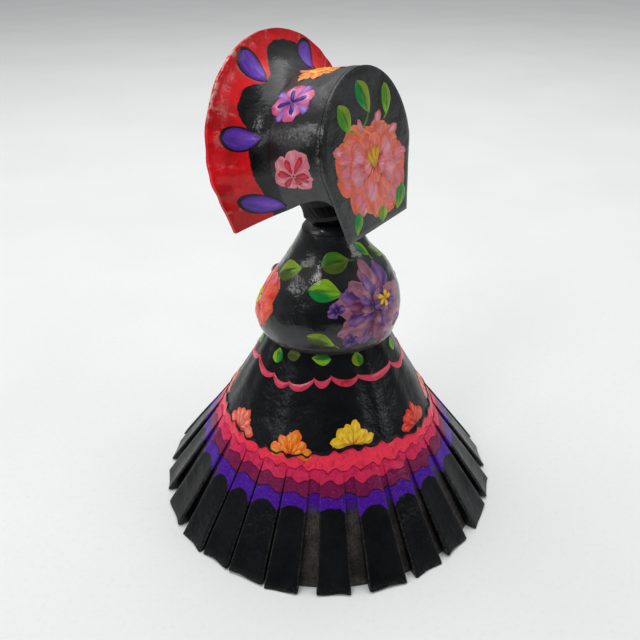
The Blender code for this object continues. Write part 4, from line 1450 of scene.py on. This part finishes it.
def build_panel_motifs():
    relief = Relief()
    build_peony(relief)
    split = (EMERALD, OLIVE, DARK_LEAF, OLIVE)
    olive = (GREEN, OLIVE, DARK_LEAF, LIME)
    lime = (EMERALD, GREEN, DARK_LEAF, LIME)
    soft_lime = (OLIVE, LIME, DARK_LEAF, GREEN)
    # Tip, foot, half width, tones, end of the stalk.
    leaves = (
        ((5.1, 89.5), (-3.8, 69.9), 6.6, split, (6.4, 62.0)),
        ((-24.0, 83.2), (-22.1, 64.5), 5.2, olive, (-18.0, 62.5)),
        ((25.8, 80.0), (18.6, 62.5), 6.2, olive, (12.5, 61.0)),
        ((-30.0, 21.0), (-21.5, 4.5), 6.4, lime, None),
        ((-5.0, 13.0), (-1.5, 2.0), 5.6, soft_lime, None),
        ((21.0, 17.0), (25.6, 3.0), 4.6, lime, None),
    )
    sheet = panel_spot(0.0, 0.0)
    for k, (tip, start, half, tones, tail) in enumerate(leaves):
        leaf(relief, sheet, (-tip[0], tip[1]), (-start[0], start[1]), half, tones, 5.0 + k, 0.05, 0.45)
        if tail:
            end = (-tail[0], tail[1])
            leaf(relief, sheet, (-start[0], start[1] + 1.5), end, 0.8, tones, 9.0 + k, 0.08, 0.35)
    relief.build("bonnet_peony", FLOWER_PAINT)


def build_hat_motifs():
    relief = Relief()
    pink = (VIOLET, rgb(0.83, 0.42, 0.68), rgb(0.86, 0.3, 0.5), rgb(0.93, 0.7, 0.84))
    lilac = (LILAC, LILAC, VIOLET, rgb(0.74, 0.56, 0.9))
    dark = (DEEP_VIOLET, DEEP_VIOLET, VIOLET, VIOLET)
    base = (PINK, rgb(0.87, 0.45, 0.52), rgb(0.9, 0.55, 0.6), rgb(0.93, 0.62, 0.66))
    heart = (CRIMSON, rgb(0.8, 0.16, 0.24), CRIMSON, ROSE)
    # First petal's direction, start, reach across and along, half width, shape, tones, layer, ruffle,
    # seed, detail.
    crosses = (
        (51, 5, 15.6, 13.6, 3.4, "drop", lilac, Layer(0.35, 0.25, 0.05), 0.04, 0, (14, 7)),
        (6, 0, 13.8, 11.6, 6.6, "fan", pink, Layer(0.5, 0.25, 0.05), 0.09, 5, (16, 9)),
        (8, 0, 10.2, 8.8, 2.4, "drop", dark, Layer(0.95, 0.1, 0.4), 0.05, 9, (12, 7)),
    )
    spread = Layer(0.7, 0.1, 0.35)
    for side, violet_theta, pink_theta in ((1, 0.86, 0.0), (-1, math.pi - 0.86, math.pi)):
        lay = hat_spot(violet_theta, 27.5, 8.0 * side)
        for first, begin, wide, tall, half, shape, tones, layer, ruffle, seed, detail in crosses:
            for k in range(4):
                turn = first + 90 * k
                tip = toward(turn, wide, tall)
                foot = toward(turn, begin, begin)
                stroke(relief, lay, foot, tip, half, shape, tones, layer, seed + k, 0.0, ruffle, detail)
        lay = hat_spot(pink_theta, 22.5, -12.0 * side)
        ring_of_petals(relief, lay, 7, 14.4, 6.0, (base,), 3.0 + side, height=0.4, ruffle=0.06, inner=0.05)
        for k, angle in enumerate((10, 65, 128, 185, 240, 300, 340)):
            far = 11.2 + 1.8 * math.sin(k * 2.1)
            foot = toward(angle, 1.6, 1.6)
            tip = toward(angle, far, far)
            stroke(relief, lay, foot, tip, 2.9, "drop", heart, spread, 12 + k, 0.0, 0.06, (12, 7))
    lay = hat_spot(math.pi / 2 - 0.03, 26.0)
    flame = (rgb(0.9, 0.3, 0.1), ORANGE, rgb(0.98, 0.62, 0.3), rgb(0.99, 0.72, 0.4))
    ring_of_petals(relief, lay, 10, 14.5, 4.2, (flame,), 1.0, height=0.5, ruffle=0.1, inner=0.05)
    glow = (ORANGE, YELLOW, ORANGE, YELLOW)
    ring_of_petals(relief, lay, 7, 8.0, 2.8, (glow,), 2.0, height=0.85, base=0.35, inner=0.0)
    relief.build("bonnet_side_flowers", FLOWER_PAINT)


def build_brim_motifs():
    """Six violet petals on black, each from (theta, run) at the rim to (theta, run) by the crown."""
    relief = Relief()
    violet = (rgb(0.4, 0.22, 0.7), rgb(0.43, 0.24, 0.76), VIOLET, rgb(0.52, 0.34, 0.82))
    dark = (BLACK, BLACK, BLACK, BLACK)
    ground = Layer(0.22, 0.2, 0.12)
    petal = Layer(0.6, 0.1, 0.24)
    ends = (
        (-0.27, 66.5, -0.52, 38.0), (0.36, 68.5, 0.42, 44.5), (1.2, 75.0, 1.14, 52.5),
        (2.14, 75.0, 1.98, 50.0), (2.78, 68.5, 2.72, 44.5), (3.41, 66.5, 3.66, 38.0),
    )
    for k, (outer_theta, outer_run, inner_theta, inner_run) in enumerate(ends):
        middle = (outer_theta + inner_theta) / 2
        middle_run = (outer_run + inner_run) / 2
        lay = hat_spot(middle, middle_run, 0.0, BRIM_ARCH_R)
        tip = np.array((-(outer_run - middle_run), BRIM_ARCH_R * (outer_theta - middle)))
        foot = np.array((-(inner_run - middle_run), BRIM_ARCH_R * (inner_theta - middle)))
        stroke(relief, lay, tip * 1.02, foot, 8.0, "oval", dark, ground, k, 0.0, 0.02, (22, 11))
        stroke(relief, lay, tip * 0.86, foot * 0.95, 6.8, "oval", violet, petal, 4 + k, 0.0, 0.02, (22, 11))
    relief.build("brim_violet_petals", FLOWER_PAINT)


build_panel_motifs()
build_hat_motifs()
build_brim_motifs()


# ---------------------------------------------------------------- painted face
def build_face():
    relief = Relief()
    ink = (BLACK, BLACK, BLACK, 1.6 * BLACK)
    rosy = (CRIMSON, RED, ROSE, PINK)
    bright = (RED, ROSE, CRIMSON, PINK)
    glow = (ORANGE, YELLOW, ORANGE, YELLOW)
    flat = Layer(0.25, 0.2, 0.1)
    raised_dots = Layer(0.55, 0.2, 0.15)
    for eye in (-1, 1):
        lay = skull_spot(24.0 * eye, -2.0)
        stroke(relief, lay, (-6.4, 0), (6.4, 0), 6.4, "round", ink, flat, eye, 0.0, 0.02, (20, 15))
        for k in range(12):
            turn = 360.0 * k / 12
            near = toward(turn, 6.4, 6.6)
            far = toward(turn, 8.8, 9.2)
            tones = glow if k % 2 else bright
            stroke(relief, lay, near, far, 1.7, "round", tones, raised_dots, k, 0.0, 0.02, (8, 7))
        cheek = skull_spot(38.0 * eye, -34.0)
        ring_of_petals(relief, cheek, 6, 4.2, 1.8, (rosy,), 2.0 + eye, "drop", 0.1, 0.5)
        brow = skull_spot(27.0 * eye, 24.0)
        start = (-6.5 * eye, -0.8)
        end = (6.5 * eye, -1.6)
        thin = Layer(0.35, 0.2, 0.05)
        stroke(relief, brow, start, end, 1.0, "leaf", ink, thin, 3, 0.12 * eye, 0.0, (16, 5))
    nose = skull_spot(0.0, -21.0)
    stroke(relief, nose, (0.0, 3.4), (-2.5, -3.6), 1.6, "drop", ink, flat, 1, detail=(12, 7))
    stroke(relief, nose, (0.0, 3.4), (2.5, -3.6), 1.6, "drop", ink, Layer(0.3, 0.2, 0.12), 2, detail=(12, 7))
    side = np.linspace(-34, 34, 60)
    ribbon(relief, on_skull, side, -43.3 + 0.002 * side ** 2, 0.55, (BLACK, BLACK, BLACK), 0.3, 1.0, 0.2)
    fine = Layer(0.28, 0.2, 0.05)
    for number in range(-5, 5):
        gap = skull_spot(6.6 * (number + 0.5), -43.3)
        stroke(relief, gap, (0.0, 4.6), (0.0, -4.8), 0.32, "leaf", ink, fine, number, detail=(12, 5))
    forehead = skull_spot(0.0, 40.0)
    ring_of_petals(relief, forehead, 8, 7.5, 2.8, ((VIOLET, LILAC, VIOLET, LILAC),), 2.0, height=0.5)
    ring_of_petals(relief, forehead, 6, 4.6, 1.9, (bright,), 4.0, height=0.8, base=0.3)
    ring_of_petals(relief, forehead, 4, 2.4, 1.2, (glow,), 6.0, "drop", 0.0, 1.1, 0.6)
    for side_of in (-1, 1):
        spray = skull_spot(15.0 * side_of, 40.0, 90.0 - 90.0 * side_of)
        leaf(relief, spray, (2.0, -1.0), (9.0, -3.0), 2.2, (EMERALD, LIME, DARK_LEAF, LIME), side_of, 0.1)
    chin = skull_spot(0.0, -64.0)
    ring_of_petals(relief, chin, 6, 3.4, 1.5, (rosy,), 3.0, "drop", 0.1, 0.5)
    relief.build("face_paint", FLOWER_PAINT)


build_face()


# ---------------------------------------------------------------- stage, lights, camera
def build_stage():
    bpy.ops.mesh.primitive_plane_add(size=9.0, location=(0, 0, -0.0003))
    floor = bpy.context.object
    floor.name = "floor_sheet"
    mat, tree, shader = new_material("pale_floor")
    at = object_coords(tree)
    soft = speckle(tree, at, 5.0, 3.0, 0.5)
    fine = speckle(tree, at, 260.0, 3.0, 0.6)
    colour = mix(tree, remap(tree, soft, 0.3, 0.7), rgb(0.905, 0.912, 0.91), rgb(0.89, 0.898, 0.896))
    colour = mix(tree, remap(tree, fine, 0.5, 0.75, 0.0, 0.3), colour, rgb(0.84, 0.85, 0.85))
    socket(tree, shader.inputs["Base Color"], colour)
    shader.inputs["Roughness"].default_value = 0.6
    shader.inputs["Specular IOR Level"].default_value = 0.25
    bump(tree, shader, ((fine, 0.15, 0.3),))
    floor.data.materials.append(mat)


def area_light(name, at, aim, size, power):
    """A soft box at one place aimed at another, in metres and watts."""
    data = bpy.data.lights.new(name, "AREA")
    data.shape = "RECTANGLE"
    data.size = size[0]
    data.size_y = size[1]
    data.energy = power
    lamp = bpy.data.objects.new(name, data)
    lamp.location = at
    lamp.rotation_euler = (Vector(aim) - Vector(at)).to_track_quat("-Z", "Y").to_euler()
    bpy.context.scene.collection.objects.link(lamp)


def build_lights():
    """A pale room, brighter overhead and darker on the side of the camera, with four soft boxes."""
    world = bpy.data.worlds.new("soft_room")
    bpy.context.scene.world = world
    world.use_nodes = True
    tree = world.node_tree
    back = tree.nodes["Background"]
    coords = tree.nodes.new("ShaderNodeTexCoord")
    split = tree.nodes.new("ShaderNodeSeparateXYZ")
    tree.links.new(coords.outputs["Generated"], split.inputs[0])
    dim = remap(tree, split.outputs["Y"], -0.3, 0.8, 1.0, 0.25)
    lift = remap(tree, split.outputs["Z"], 0.05, 0.8, 0.4, 1.4)
    share = maths(tree, "MULTIPLY", maths(tree, "MULTIPLY", dim, 0.6), lift)
    socket(tree, back.inputs["Color"], mix(tree, share, (0.0, 0.0, 0.0), (0.985, 0.99, 1.0)))
    back.inputs["Strength"].default_value = 0.86
    area_light("ceiling", (0.1, -0.7, 1.9), (0.0, -0.35, 0.0), (2.6, 1.6), 30.0)
    area_light("strip_left", (1.45, 0.55, 0.92), (0.0, 0.0, 0.2), (1.0, 0.2), 2.6)
    area_light("strip_right", (-1.5, 0.5, 0.85), (0.0, 0.0, 0.15), (0.9, 0.25), 3.0)
    area_light("bulb", (0.75, 0.8, 1.25), (0.0, 0.0, 0.18), (0.3, 0.3), 3.5)


def build_camera():
    """Behind the figure, looking down on it at a steep slant."""
    data = bpy.data.cameras.new("camera")
    data.lens = 39.375
    data.sensor_width = 36.0
    data.clip_end = 30.0
    camera = bpy.data.objects.new("camera", data)
    camera.location = (0.00575, 0.4255, 0.3865)
    down = math.radians(30.64)
    aim = Vector((0.0, -math.cos(down), -math.sin(down)))
    camera.rotation_euler = aim.to_track_quat("-Z", "Y").to_euler()
    bpy.context.scene.collection.objects.link(camera)
    bpy.context.scene.camera = camera


bpy.context.scene.view_settings.view_transform = "Standard"
build_stage()
build_lights()
build_camera()
